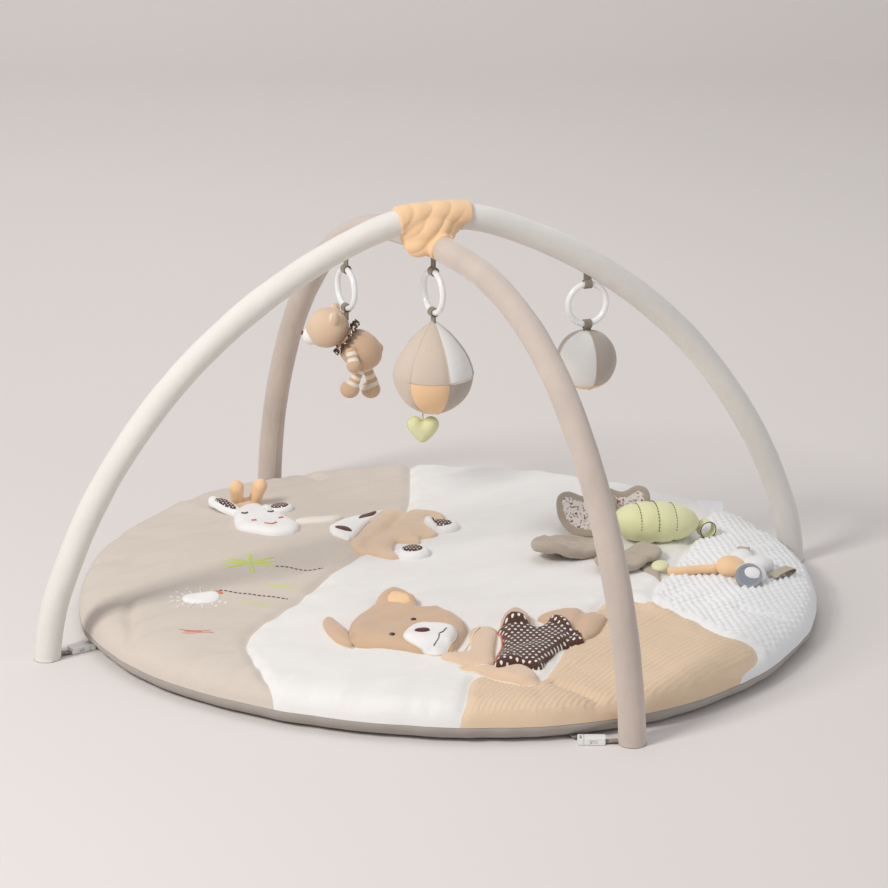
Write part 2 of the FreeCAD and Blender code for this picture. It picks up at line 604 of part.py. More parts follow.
half_width = BUCKLE_WIDTH / 2
housing_start = BUCKLE_REACH - BUCKLE_LENGTH / 2
housing_corner = Vector(housing_start, -half_width, BUCKLE_REST)
housing = Part.makeBox(BUCKLE_LENGTH, BUCKLE_WIDTH, BUCKLE_THICKNESS, housing_corner)
housing = housing.makeFillet(1.2, [edge for edge in housing.Edges if abs(edge.tangentAt(0).z) > 0.9])
pocket_start = housing_start + 5.0
pocket_length = BUCKLE_LENGTH - 5.0
pocket_width = BUCKLE_WIDTH - 2 * BUCKLE_WALL
pocket_height = BUCKLE_THICKNESS - 2 * BUCKLE_WALL
pocket_place = Vector(pocket_start, -pocket_width / 2, BUCKLE_REST + BUCKLE_WALL)
housing = housing.cut(Part.makeBox(pocket_length, pocket_width, pocket_height, pocket_place))
window_place = Vector(pocket_start + 4, -BUCKLE_WIDTH, BUCKLE_REST + BUCKLE_WALL)
housing = housing.cut(Part.makeBox(8.0, 2 * BUCKLE_WIDTH, pocket_height, window_place))
prong_room = BUCKLE_CLEARANCE
prong_height = pocket_height - 2 * prong_room
prong_length = pocket_length - 2.0
prong_base = BUCKLE_REST + BUCKLE_WALL + prong_room
housing_end = BUCKLE_REACH + BUCKLE_LENGTH / 2
prong_start = housing_end + prong_room - prong_length
tongue_pieces = []
for side in (-1, 1):
    outer = side * (pocket_width / 2 - prong_room)
    prong_place = Vector(prong_start, min(outer, outer - side * PRONG_WIDTH), prong_base)
    tongue_pieces.append(Part.makeBox(prong_length, PRONG_WIDTH, prong_height, prong_place))
bar_corner = Vector(housing_end + prong_room, -half_width, BUCKLE_REST)
bar = Part.makeBox(TONGUE_OUT, BUCKLE_WIDTH, BUCKLE_THICKNESS, bar_corner)
slot_corner = Vector(housing_end + SLOT_WIDTH, -(STRAP_WIDTH + 1) / 2, 0)
slot = Part.makeBox(SLOT_WIDTH, STRAP_WIDTH + 1, 2 * BUCKLE_THICKNESS, slot_corner)
tongue = bar.cut(slot).fuse(tongue_pieces).removeSplitter()
strap_corner = Vector(STRAP_START, -STRAP_WIDTH / 2, STRAP_BASE)
strap = Part.makeBox(housing_start - STRAP_START, STRAP_WIDTH, STRAP_THICKNESS, strap_corner)
tongues = {"white": [], "taupe": []}
straps = {"white": [], "taupe": []}
tabs = []
for foot, (azimuth, skew, arch) in FEET.items():
    add("buckle_" + foot, place_buckle(housing, azimuth, skew))
    tongues[arch].append(place_buckle(tongue, azimuth, skew))
    tube = white_tube if arch == "white" else turned(taupe_tube, CROSSING_DEG)
    foot_strap = place_buckle(strap, azimuth, skew).cut(tube)
    straps[arch].append(max(foot_strap.Solids, key=lambda solid: solid.Volume))
    corners = [corner.Point for corner in tongues[arch][-1].Vertexes]
    nearest = min(corners, key=lambda point: math.hypot(point.x, point.y))
    tab_azimuth = math.degrees(math.atan2(nearest.y, nearest.x))
    reach = math.hypot(nearest.x, nearest.y) - TAB_CLEARANCE
    tab = box_between(polar(reach - TAB_LENGTH, tab_azimuth), polar(reach, tab_azimuth), STRAP_WIDTH,
                      STRAP_THICKNESS, TAB_BASE)
    tabs.append(tab.cut(mat))
for arch in ("white", "taupe"):
    add(arch + "_tongues", *tongues[arch])
    add(arch + "_foot_straps", *straps[arch])
add("mat_tabs", *[max(tab.Solids, key=lambda solid: solid.Volume) for tab in tabs])

os.makedirs("parts", exist_ok=True)
for node, shape in parts.items():
    shape.exportStep("parts/" + node + ".step")
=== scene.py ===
import bpy
import bmesh
import math
import numpy as np
from mathutils import Matrix, Vector, geometry


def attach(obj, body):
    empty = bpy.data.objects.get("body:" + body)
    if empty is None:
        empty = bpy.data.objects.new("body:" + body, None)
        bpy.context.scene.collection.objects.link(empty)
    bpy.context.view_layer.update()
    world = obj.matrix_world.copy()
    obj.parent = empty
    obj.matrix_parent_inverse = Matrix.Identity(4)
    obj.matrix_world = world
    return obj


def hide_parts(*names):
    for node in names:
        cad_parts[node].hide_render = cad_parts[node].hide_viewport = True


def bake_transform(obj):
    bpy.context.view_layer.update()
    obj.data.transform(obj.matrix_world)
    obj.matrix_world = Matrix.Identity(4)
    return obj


# Looks of the baby play gym, in metres, in the CAD model's frame: floor at z = 0, +X along the white arch.
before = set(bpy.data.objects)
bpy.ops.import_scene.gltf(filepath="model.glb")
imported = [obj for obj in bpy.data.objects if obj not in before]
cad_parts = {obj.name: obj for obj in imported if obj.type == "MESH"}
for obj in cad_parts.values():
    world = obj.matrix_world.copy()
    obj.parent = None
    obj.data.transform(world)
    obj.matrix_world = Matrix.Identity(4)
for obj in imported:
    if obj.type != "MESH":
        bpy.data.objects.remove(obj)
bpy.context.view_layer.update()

MM = 0.001
TOP = 0.045
MAT_RADIUS = 0.45
HALF_SPAN = 0.490
TUBE_RADIUS = 0.016
CROSSING = math.radians(96.25)
WHITE_HEIGHT = 0.497
TAUPE_HEIGHT = 0.4627
WHITE_JOINS = [(0.172, 0.969), (0.960, 0.185)]
TAUPE_JOINS = [(0.200, 0.991), (0.753, 0.679)]
RING_RADIUS = 0.0252
RING_SECTION = 0.0038


# ---------------------------------------------------------------- noise
noise_table = np.random.RandomState(7).rand(64, 64, 64)


def value_noise(points, size, seed=0):
    """Smooth noise from -1 to 1 at each row of points; size is the width of its lumps in metres."""
    p = np.asarray(points, float) / size + np.array([13.7, 7.1, 3.3]) * (seed + 1)
    cell = np.floor(p).astype(int)
    f = p - cell
    f = f * f * (3 - 2 * f)
    total = np.zeros(len(p))
    for corner in range(8):
        step = np.array([corner & 1, corner >> 1 & 1, corner >> 2 & 1])
        at = (cell + step) % 64
        weight = np.prod(np.where(step == 1, f, 1 - f), axis=1)
        total += weight * noise_table[at[:, 0], at[:, 1], at[:, 2]]
    return 2 * total - 1


def smooth_step(t):
    t = np.clip(t, 0, 1)
    return t * t * (3 - 2 * t)


# ---------------------------------------------------------------- materials
class Tree:
    """Node tree of one new material."""

    def __init__(self, name):
        self.material = bpy.data.materials.new(name)
        self.material.use_nodes = True
        self.nodes, self.links = self.material.node_tree.nodes, self.material.node_tree.links
        self.shader = self.nodes["Principled BSDF"]
        self.place = self.nodes.new("ShaderNodeTexCoord").outputs["Object"]

    def feed(self, socket, value):
        if hasattr(value, "is_linked"):
            self.links.new(value, socket)
        else:
            socket.default_value = value

    def math(self, operation, first, second=None):
        node = self.nodes.new("ShaderNodeMath")
        node.operation = operation
        self.feed(node.inputs[0], first)
        if second is not None:
            self.feed(node.inputs[1], second)
        return node.outputs[0]

    def noise(self, scale, detail=2.0):
        node = self.nodes.new("ShaderNodeTexNoise")
        self.feed(node.inputs["Scale"], scale)
        self.feed(node.inputs["Detail"], detail)
        self.feed(node.inputs["Vector"], self.place)
        return node.outputs["Fac"]

    def axes(self, vector):
        node = self.nodes.new("ShaderNodeSeparateXYZ")
        self.feed(node.inputs[0], vector)
        return node.outputs

    def mix(self, factor, first, second):
        node = self.nodes.new("ShaderNodeMix")
        node.data_type = "RGBA"
        self.feed(node.inputs["Factor"], factor)
        for name, value in (("A", first), ("B", second)):
            target = [s for s in node.inputs if s.name == name and s.type == "RGBA"][0]
            self.feed(target, (*value, 1) if isinstance(value, tuple) else value)
        return [s for s in node.outputs if s.type == "RGBA"][0]

    def surface(self, colour, **values):
        """Colour and plain values of the shader; an underscore stands for a space in a socket's name."""
        self.feed(self.shader.inputs["Base Color"], colour)
        for name, value in values.items():
            self.shader.inputs[name.replace("_", " ")].default_value = value

    def bump(self, height, strength, distance):
        node = self.nodes.new("ShaderNodeBump")
        self.feed(node.inputs["Strength"], strength)
        self.feed(node.inputs["Distance"], distance)
        self.feed(node.inputs["Height"], height)
        self.feed(self.shader.inputs["Normal"], node.outputs["Normal"])


def shade(colour, factor):
    return tuple(min(1.0, c * factor) for c in colour)


def linear(red, green, blue):
    """Linear colour from display values of 0 to 255."""
    values = [v / 255 for v in (red, green, blue)]
    return tuple(v / 12.92 if v <= 0.04045 else ((v + 0.055) / 1.055) ** 2.4 for v in values)


# Scale and depth of a pile, threads to the metre of a weave, and depth of weave and moulding marks.
PILE = {"velour": (900.0, 0.0006), "plush": (520.0, 0.0012)}
THREADS = {"plain": 1100.0, "ribbon": 1500.0, "webbing": 700.0}
WEAVE_DEPTH = 0.0004
MOULD_DEPTH = 0.0003


def fabric(name, colour, kind="plain", mottle=0.08, bump=0.25, sheen=0.25, rough=0.92, pattern=None):
    """Cloth with its own colour drift, and a weave, ribbon, velour or plush surface."""
    tree = Tree(name)
    base = tree.mix(tree.noise(14.0, 3.0), shade(colour, 1 - mottle), shade(colour, 1 + mottle))
    base = tree.mix(tree.math("MULTIPLY", tree.noise(420.0), 0.35), base, shade(colour, 0.82))
    if pattern:
        base = pattern(tree, base)
    tree.surface(base, Roughness=rough, Sheen_Weight=sheen, Sheen_Roughness=0.5, Specular_IOR_Level=0.25)
    if kind in PILE:
        scale, depth = PILE[kind]
        nap = tree.math("MULTIPLY", tree.noise(60.0, 4.0), 1.4)
        height = tree.math("ADD", tree.noise(scale, 3.0), nap)
    else:
        turn = THREADS[kind] * math.pi
        axes = tree.axes(tree.place)
        across = tree.math("ADD", axes["X"], axes["Z"])
        warp = tree.math("SINE", tree.math("MULTIPLY", across, turn))
        weft = tree.math("SINE", tree.math("MULTIPLY", axes["Y"], turn))
        height = tree.math("ADD", tree.math("MULTIPLY", warp, weft), tree.noise(260.0))
        depth = WEAVE_DEPTH
    tree.bump(height, bump, depth)
    return tree.material


def dotted(pitch, radius, dot_colour, angle=0.4):
    """Pattern of small printed dots on a staggered grid."""
    def pattern(tree, base):
        turn = tree.nodes.new("ShaderNodeVectorRotate")
        turn.inputs["Angle"].default_value = angle
        tree.feed(turn.inputs["Vector"], tree.place)
        axes = tree.axes(turn.outputs[0])
        scaled = tree.math("MULTIPLY", axes["Y"], 1 / pitch)
        shift = tree.math("MULTIPLY", tree.math("FLOOR", scaled), 0.5)
        column = tree.math("ADD", tree.math("MULTIPLY", axes["X"], 1 / pitch), shift)
        u = tree.math("SUBTRACT", tree.math("FRACT", column), 0.5)
        v = tree.math("SUBTRACT", tree.math("FRACT", scaled), 0.5)
        square = tree.math("ADD", tree.math("MULTIPLY", u, u), tree.math("MULTIPLY", v, v))
        return tree.mix(tree.math("LESS_THAN", square, (radius / pitch) ** 2), base, dot_colour)
    return pattern


def striped(axis, period, share, stripe_colour, start):
    """Pattern of level bands."""
    def pattern(tree, base):
        along = tree.math("SUBTRACT", tree.axes(tree.place)[axis], start)
        phase = tree.math("FRACT", tree.math("MULTIPLY", along, 1 / period))
        return tree.mix(tree.math("LESS_THAN", phase, share), base, stripe_colour)
    return pattern


def sprigged(tree, base):
    """Small printed sprigs in pink and brown."""
    for scale, limit, colour in ((210.0, 0.30, PINK_PRINT), (165.0, 0.26, BROWN_PRINT)):
        cells = tree.nodes.new("ShaderNodeTexVoronoi")
        cells.feature = "DISTANCE_TO_EDGE"
        cells.inputs["Scale"].default_value = scale
        tree.feed(cells.inputs["Vector"], tree.place)
        mark = tree.math("GREATER_THAN", tree.noise(scale * 1.3, 1.0), 1 - limit - 0.12)
        thin = tree.math("LESS_THAN", cells.outputs["Distance"], 0.14)
        base = tree.mix(tree.math("MULTIPLY", mark, thin), base, colour)
    return base


def hard(name, colour, rough=0.3, metal=0.0, grain=0.05, coat=0.0):
    """Moulded plastic or metal with fine moulding marks."""
    tree = Tree(name)
    marks = tree.noise(300.0, 3.0)
    tree.surface(tree.mix(marks, shade(colour, 0.97), shade(colour, 1.03)), Roughness=rough,
        Metallic=metal, Coat_Weight=coat)
    tree.bump(marks, grain, MOULD_DEPTH)
    return tree.material


PINK_PRINT = linear(196, 132, 130)
BROWN_PRINT = linear(120, 96, 92)
WHITE_DOT = linear(240, 234, 228)
M = {
    "grey_cotton": fabric("grey_cotton", linear(176, 168, 160), mottle=0.05),
    "beige": fabric("beige_cotton", linear(217, 205, 193), mottle=0.04, bump=0.3),
    "white_velour": fabric("white_velour", linear(240, 238, 235), "velour", mottle=0.02, sheen=0.35),
    "corduroy": fabric("tan_corduroy", linear(228, 202, 172), "velour", mottle=0.07, sheen=0.3),
    "bubble": fabric("bubble_plush", linear(240, 240, 240), "plush", mottle=0.02, bump=0.2),
    "tan": fabric("tan_plush", linear(212, 180, 150), "plush", mottle=0.07, bump=0.3, sheen=0.4),
    "light_tan": fabric("light_tan_plush", linear(228, 200, 172), "plush", mottle=0.06, bump=0.3,
                        sheen=0.4),
    "cream": fabric("cream_thread", linear(240, 228, 208), "ribbon", mottle=0.03),
    "cream_plush": fabric("cream_plush", linear(240, 230, 214), "plush", mottle=0.03),
    "white_plush": fabric("white_plush", linear(243, 242, 241), "plush", mottle=0.02),
    "pale_plush": fabric("pale_plush", linear(236, 228, 218), "plush", mottle=0.04),
    "peach": fabric("peach_fabric", linear(248, 208, 164), "velour", mottle=0.06, sheen=0.3),
    "lime": fabric("lime_velour", linear(230, 230, 182), "velour", mottle=0.05, sheen=0.3),
    "lime_thread": fabric("lime_thread", linear(206, 218, 122), "ribbon"),
    "dotted": fabric("dotted_cotton", linear(86, 58, 48), mottle=0.1,
                     pattern=dotted(0.0072, 0.00165, WHITE_DOT)),
    "lining_dots": fabric("dotted_lining", linear(90, 62, 54), mottle=0.1,
                          pattern=dotted(0.0045, 0.0010, WHITE_DOT)),
    "dark_thread": fabric("dark_thread", linear(82, 60, 52), "ribbon"),
    "orange_thread": fabric("orange_thread", linear(226, 126, 84), "ribbon"),
    "red_thread": fabric("red_thread", linear(214, 112, 92), "ribbon"),
    "brown_felt": fabric("brown_felt", linear(92, 58, 48), "velour"),
    "taupe_velvet": fabric("taupe_velvet", linear(205, 190, 179), "velour", mottle=0.2, sheen=0.5,
                           bump=0.5),
    "ball_taupe": fabric("ball_taupe", linear(214, 198, 182), "velour", mottle=0.09, sheen=0.4),
    "ball_shade": fabric("ball_grey", linear(186, 174, 163), "velour", mottle=0.09, sheen=0.4),
    "wing": fabric("wing_taupe", linear(184, 170, 154), "velour", mottle=0.08, sheen=0.3),
    "sprig": fabric("sprigged_cotton", linear(240, 234, 228), mottle=0.02, pattern=sprigged),
    "ivory": fabric("ivory_velour", linear(234, 230, 223), "velour", mottle=0.05, sheen=0.4, bump=0.4),
    "webbing": fabric("taupe_webbing", linear(150, 140, 126), "webbing", bump=0.6),
    "ribbon": fabric("ribbed_ribbon", linear(206, 192, 170), "ribbon",
                     pattern=striped("X", 0.0028, 0.45, linear(176, 162, 140), 0.0)),
    "satin": fabric("label_satin", linear(238, 238, 242), "ribbon", rough=0.5, sheen=0.1),
    "ring": hard("ring_plastic", linear(244, 245, 246), rough=0.18, coat=0.3),
    "acetal": hard("buckle_acetal", linear(240, 240, 238), rough=0.35),
    "dark_plastic": hard("cap_plastic", linear(70, 66, 62), rough=0.5),
    "pale_plastic": hard("movement_plastic", linear(226, 226, 222), rough=0.4),
    "steel": hard("ferrule_steel", linear(170, 172, 174), rough=0.35, metal=1.0),
    "glass_fibre": hard("rod_fibre", linear(226, 222, 208), rough=0.45, grain=0.2),
    "mirror": hard("mirror_face", linear(214, 222, 230), rough=0.04, metal=1.0, grain=0.0),
    "silver": hard("silver_trim", linear(176, 176, 178), rough=0.3, metal=0.6),
    "bead": hard("eye_bead", linear(46, 34, 30), rough=0.25, coat=0.5),
}


# ---------------------------------------------------------------- mesh helpers
def make_object(name, vertices, faces, material, smooth=True):
    mesh = bpy.data.meshes.new(name)
    mesh.from_pydata([tuple(v) for v in vertices], [], [tuple(int(i) for i in f) for f in faces])
    mesh.validate()
    mesh.update()
    for polygon in mesh.polygons:
        polygon.use_smooth = smooth
    obj = bpy.data.objects.new(name, mesh)
    bpy.context.scene.collection.objects.link(obj)
    obj.data.materials.append(M[material])
    return obj


def finish_piece(obj, body, slot, *nodes, padding=None):
    """Hangs a finished piece on its body and hides the CAD parts that it replaces."""
    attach(obj, body)
    if nodes:
        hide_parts(*nodes)
    return obj


def apply_modifiers(obj):
    bpy.context.view_layer.update()
    evaluated = obj.evaluated_get(bpy.context.evaluated_depsgraph_get())
    mesh = bpy.data.meshes.new_from_object(evaluated)
    old = obj.data
    obj.modifiers.clear()
    obj.data = mesh
    mesh.name = obj.name
    bpy.data.meshes.remove(old)
    return obj


def points_of(obj):
    points = np.empty(len(obj.data.vertices) * 3)
    obj.data.vertices.foreach_get("co", points)
    return points.reshape(-1, 3)


def set_points(obj, points):
    obj.data.vertices.foreach_set("co", np.asarray(points, float).ravel())
    obj.data.update()


def swell(obj, points, shift):
    """Moves each point along the surface's own normal."""
    normals = np.empty(len(points) * 3)
    obj.data.vertex_normals.foreach_get("vector", normals)
    set_points(obj, points + normals.reshape(-1, 3) * shift[:, None])


def roughen(obj, size, amount, seed=0):
    """Small lumps on the surface."""
    points = points_of(obj)
    swell(obj, points, value_noise(points, size, seed) * amount)


def catmull(a, b, c, d, step):
    """Points from b towards c on the Catmull-Rom curve through four places."""
    count = max(2, int(np.linalg.norm(c - b) / step))
    return [0.5 * (2 * b + (c - a) * t + (2 * a - 5 * b + 4 * c - d) * t ** 2
        + (3 * b - a - 3 * c + d) * t ** 3) for t in np.arange(count) / count]


def smooth_closed(points, step):
    """Closed curve through given points, sampled every step."""
    p = np.array(points, float)
    out = []
    for i in range(len(p)):
        out += catmull(p[i - 1], p[i], p[(i + 1) % len(p)], p[(i + 2) % len(p)], step)
    return np.array(out)


def smooth_open(points, step):
    """Open curve through given points."""
    p = np.array(points, float)
    p = np.vstack([2 * p[0] - p[1], p, 2 * p[-1] - p[-2]])
    out = []
    for i in range(1, len(p) - 2):
        out += catmull(p[i - 1], p[i], p[i + 1], p[i + 2], step)
    out.append(p[-2])
    return np.array(out)


def unit_rows(vectors):
    return vectors / np.linalg.norm(vectors, axis=1)[:, None]


def run_along(path):
    """Distance from the start of a path at each of its points."""
    return np.concatenate([[0], np.cumsum(np.linalg.norm(np.diff(path, axis=0), axis=1))])


def polar(radius, azimuth):
    return np.column_stack([radius * np.cos(azimuth), radius * np.sin(azimuth)])


def pillow(gap, edge):
    """Share of the full thickness of a stuffed patch at a distance from its rim."""
    return np.sqrt(1 - (1 - np.clip(gap / edge, 0, 1)) ** 2)


def lattice(rows, around, closed=False):
    """Four-sided faces between rings of points."""
    faces = []
    for k in range(rows if closed else rows - 1):
        here, above = k * around, (k + 1) % rows * around
        for s in range(around):
            after = (s + 1) % around
            faces.append((here + s, here + after, above + after, above + s))
    return faces


def end_faces(rows, around):
    return [tuple(range(around))[::-1], tuple((rows - 1) * around + s for s in range(around))]


def sheet_faces(triangles, count, rim_count=0):
    """Faces of an upper and a lower sheet, and of the wall between their rims."""
    faces = [tuple(t) for t in triangles] + [tuple(i + count for i in t[::-1]) for t in triangles]
    for i in range(rim_count):
        j = (i + 1) % rim_count
        faces.append((j, i, i + count, j + count))
    return faces


def turn_outwards(obj):
    mesh = bmesh.new()
    mesh.from_mesh(obj.data)
    bmesh.ops.recalc_face_normals(mesh, faces=mesh.faces)
    mesh.to_mesh(obj.data)
    mesh.free()


def shade_smooth(obj):
    for polygon in obj.data.polygons:
        polygon.use_smooth = True


def inside(points, outline):
    """Which plan points lie inside a closed outline."""
    x, y = points[:, 0], points[:, 1]
    result = np.zeros(len(points), bool)
    previous = outline[-1]
    for corner in outline:
        crosses = (corner[1] > y) != (previous[1] > y)
        with np.errstate(divide="ignore", invalid="ignore"):
            at = (previous[0] - corner[0]) * (y - corner[1]) / (previous[1] - corner[1]) + corner[0]
        result ^= crosses & (x < at)
        previous = corner
    return result


def distance_to(points, line, closed=True):
    """Plan distance from each point to a polyline."""
    starts = np.asarray(line)[:, :2]
    ends = np.roll(starts, -1, axis=0)
    if not closed:
        starts, ends = starts[:-1], ends[:-1]
    best = np.full(len(points), 1e9)
    for a, b in zip(starts, ends):
        run = b - a
        t = np.clip(((points[:, :2] - a) @ run) / max(run @ run, 1e-12), 0, 1)
        gap = points[:, :2] - a - t[:, None] * run
        best = np.minimum(best, np.hypot(gap[:, 0], gap[:, 1]))
    return best


def fill_plan(outline, spacing, rings=()):
    """Triangles that fill a plan outline: its own points, inner rings near the rim, and an even field."""
    low, high = outline.min(0), outline.max(0)
    rows = np.arange(low[1], high[1], spacing * 0.866)
    field = []
    for k, row in enumerate(rows):
        xs = np.arange(low[0] + (k % 2) * spacing / 2, high[0], spacing)
        field.append(np.column_stack([xs, np.full(len(xs), row)]))
    field = np.vstack(field)
    field = field[inside(field, outline)]
    clear = distance_to(field, outline)
    field = field[clear > max([spacing * 0.55] + [ring + spacing * 0.3 for ring in rings])]
    points = [outline]
    for ring in rings:
        previous, following = np.roll(outline, 1, axis=0), np.roll(outline, -1, axis=0)
        tangent = following - previous
        normal = np.column_stack([-tangent[:, 1], tangent[:, 0]]) / np.linalg.norm(tangent, axis=1)[:,
            None]
        turn = np.sign(np.sum(outline[:, 0] * np.roll(outline[:, 1], -1) - np.roll(outline[:, 0],
            -1) * outline[:, 1]))
        inner = outline + normal * ring * turn
        keep = inside(inner, outline) & (distance_to(inner, outline) > ring * 0.9)
        points.append(inner[keep])
    points.append(field)
    every = np.vstack(points)
    count = len(outline)
    edges = [(i, (i + 1) % count) for i in range(count)]
    result = geometry.delaunay_2d_cdt([Vector(p) for p in every], edges, [], 1, 1e-7)
    return np.array([(v.x, v.y) for v in result[0]]), result[2]


def tube_along(name, path, radius, material, sides=10, closed=False):
    """Round thread, piping or bar through points; radius may vary along it."""
    path = np.asarray(path, float)
    count = len(path)
    radii = np.full(count, radius) if np.isscalar(radius) else np.asarray(radius)
    tangents = np.gradient(path, axis=0)
    if closed:
        tangents = np.roll(path, -1, axis=0) - np.roll(path, 1, axis=0)
    tangents /= np.maximum(np.linalg.norm(tangents, axis=1), 1e-12)[:, None]
    side = np.cross(tangents[0], (0.0, 0.0, 1.0))
    if np.linalg.norm(side) < 1e-3:
        side = np.array([1.0, 0.0, 0.0])
    vertices = []
    for k in range(count):
        side = side - tangents[k] * (side @ tangents[k])
        side /= np.linalg.norm(side)
        up = np.cross(tangents[k], side)
        for s in range(sides):
            angle = 2 * math.pi * s / sides
            vertices.append(path[k] + radii[k] * (math.cos(angle) * side + math.sin(angle) * up))
    faces = lattice(count, sides, closed)
    if not closed:
        faces += end_faces(count, sides)
    return make_object(name, vertices, faces, material)


def joined(name, objects):
    """One object out of several of the same material."""
    bpy.ops.object.select_all(action="DESELECT")
    for obj in objects:
        obj.select_set(True)
    bpy.context.view_layer.objects.active = objects[0]
    if len(objects) > 1:
        bpy.ops.object.join()
    objects[0].name = name
    objects[0].data.name = name
    return objects[0]


def rotation_between(yaw, tilt=0.0, roll=0.0):
    return Matrix.Rotation(yaw, 3, "Z") @ Matrix.Rotation(tilt, 3, "Y") @ Matrix.Rotation(roll, 3, "X")


def ellipsoid(name, centre, radii, material, yaw=0.0, tilt=0.0, roll=0.0, rings=24, segments=36):
    turn = rotation_between(yaw, tilt, roll)
    mesh = bmesh.new()
    bmesh.ops.create_uvsphere(mesh, u_segments=segments, v_segments=rings, radius=1.0)
    for vertex in mesh.verts:
        scaled = Vector((vertex.co.x * radii[0], vertex.co.y * radii[1], vertex.co.z * radii[2]))
        vertex.co = turn @ scaled + Vector(centre)
    data = bpy.data.meshes.new(name)
    mesh.to_mesh(data)
    mesh.free()
    obj = bpy.data.objects.new(name, data)
    bpy.context.scene.collection.objects.link(obj)
    obj.data.materials.append(M[material])
    shade_smooth(obj)
    return obj


def melt(name, objects, voxel, material, smoothing=6):
    """Several overlapping forms turned into one soft skin."""
    obj = joined(name, objects)
    obj.data.materials.clear()
    obj.data.materials.append(M[material])
    remesh = obj.modifiers.new("Remesh", "REMESH")
    remesh.mode = "VOXEL"
    remesh.voxel_size = voxel
    remesh.use_smooth_shade = True
    relax = obj.modifiers.new("Smooth", "SMOOTH")
    relax.factor = 0.5
    relax.iterations = smoothing
    return apply_modifiers(obj)


STUFFING_PRESSURE = 4.0
STUFFING_FRAMES = 20


def puff(obj, cap):
    """Stuffing: the cloth is blown up under pressure, and no point moves more than cap."""
    start = points_of(obj)
    cloth = obj.modifiers.new("Cloth", "CLOTH")
    settings = cloth.settings
    settings.quality = 4
    settings.mass = 0.15
    settings.tension_stiffness = 8
    settings.compression_stiffness = 8
    settings.shear_stiffness = 4
    settings.bending_stiffness = 0.3
    settings.use_pressure = True
    settings.uniform_pressure_force = STUFFING_PRESSURE
    settings.effector_weights.gravity = 0
    cloth.point_cache.frame_start = 1
    cloth.point_cache.frame_end = STUFFING_FRAMES
    for frame_number in range(1, STUFFING_FRAMES + 1):
        bpy.context.scene.frame_set(frame_number)
    apply_modifiers(obj)
    bpy.context.scene.frame_set(1)
    moved = points_of(obj) - start
    length = np.linalg.norm(moved, axis=1)
    scale = np.minimum(1, cap / np.maximum(length, 1e-9))
    set_points(obj, start + moved * scale[:, None])
    return obj


# ---------------------------------------------------------------- mat
def periodic_spline(points, samples):
    """Smooth closed curve through a few points."""
    p = np.array(points, float)
    count = len(p)
    step = np.linalg.norm(np.roll(p, -1, axis=0) - p, axis=1)
    matrix = np.zeros((count, count))
    right = np.zeros((count, 2))
    for i in range(count):
        before, after, following = step[i - 1], step[i], (i + 1) % count
        matrix[i, i - 1] += before
        matrix[i, i] += 2 * (before + after)
        matrix[i, following] += after
        right[i] = 6 * ((p[following] - p[i]) / after - (p[i] - p[i - 1]) / before)
    bend = np.linalg.solve(matrix, right)
    out = []
    for i in range(count):
        following, h = (i + 1) % count, step[i]
        t = np.linspace(0, h, samples, endpoint=False)[:, None]
        out.append(bend[i] * (h - t) ** 3 / (6 * h) + bend[following] * t ** 3 / (6 * h)
            + (p[i] / h - bend[i] * h / 6) * (h - t) + (p[following] / h - bend[following] * h / 6) * t)
    return np.vstack(out)


MAT_EDGE = [(-174, 436), (-132, 425), (-84, 462), (-40, 471), (0, 467), (45, 452), (96, 458), (140, 441)]
edge_points = periodic_spline([(r * MM * math.cos(math.radians(a)), r * MM * math.sin(math.radians(a)))
    for a, r in MAT_EDGE], 60)
edge_azimuths = np.arctan2(edge_points[:, 1], edge_points[:, 0])
edge_radii = np.hypot(edge_points[:, 0], edge_points[:, 1])
edge_order = np.argsort(edge_azimuths)
edge_azimuths, edge_radii = edge_azimuths[edge_order], edge_radii[edge_order]


def edge_at(azimuth):
    """Radius of the mat's widest line, drawn in a little where its edge is gathered."""
    azimuth = np.asarray(azimuth, float)
    smooth = np.interp(azimuth, edge_azimuths, edge_radii, period=2 * math.pi)
    round_edge = np.column_stack([polar(MAT_RADIUS, azimuth), np.zeros(azimuth.size)])
    return smooth - 0.0012 + value_noise(round_edge, 0.05, 3) * 0.0018 + value_noise(round_edge, 0.016,
        4) * 0.0007


def on_edge(x, y):
    azimuth = math.atan2(y, x)
    radius = float(edge_at(np.array([azimuth]))[0])
    return radius * math.cos(azimuth), radius * math.sin(azimuth)


def seam(points):
    """Sewn line across the mat; an end that reaches the rim is put exactly on it."""
    placed = [(x * MM, y * MM) for x, y in points]
    for end in (0, -1):
        if math.hypot(*placed[end]) > 0.40:
            placed[end] = on_edge(*placed[end])
    return smooth_open(placed, 0.006)


BEIGE_SEAM = seam([(128, 424), (53, 237), (-8, 151), (-184, -33), (-286, -139), (-340, -330)])
BUBBLE_TOP = seam([(430, 119), (340, -15), (231, -151), (210, -196)])
BUBBLE_SIDE = seam([(210, -196), (232, -280), (262, -370), (246, -458)])
CORDUROY_SEAM = seam([(210, -196), (148, -176), (-13, -377), (-73, -338), (-114, -404), (-145, -478)])
SEAMS = [BEIGE_SEAM, BUBBLE_TOP, BUBBLE_SIDE, CORDUROY_SEAM]
TUCKS = [[(-380, 35), (-406, -70), (-430, -107)], [(-340, -275), (-353, -315)],
    [(-20, 437), (-10, 405)], [(300, -250), (330, -290)], [(0, -395), (30, -440)],
    [(330, 250), (352, 275)]]
TUCKS = [smooth_open([(x * MM, y * MM) for x, y in tuck], 0.008) for tuck in TUCKS]
SEAM_DEPTH, SEAM_WIDTH = 0.0048, 0.0060
PULL_HEIGHT, PULL_REACH = 0.0030, 0.026
TUCK_DEPTH, TUCK_WIDTH = 0.0055, 0.0075
GATHER_HEIGHT, GATHER_REACH = 0.0034, 0.034
RIM_INSET = np.array([0, 1.2, 3.2, 7.5, 14, 24, 40, 80]) * MM
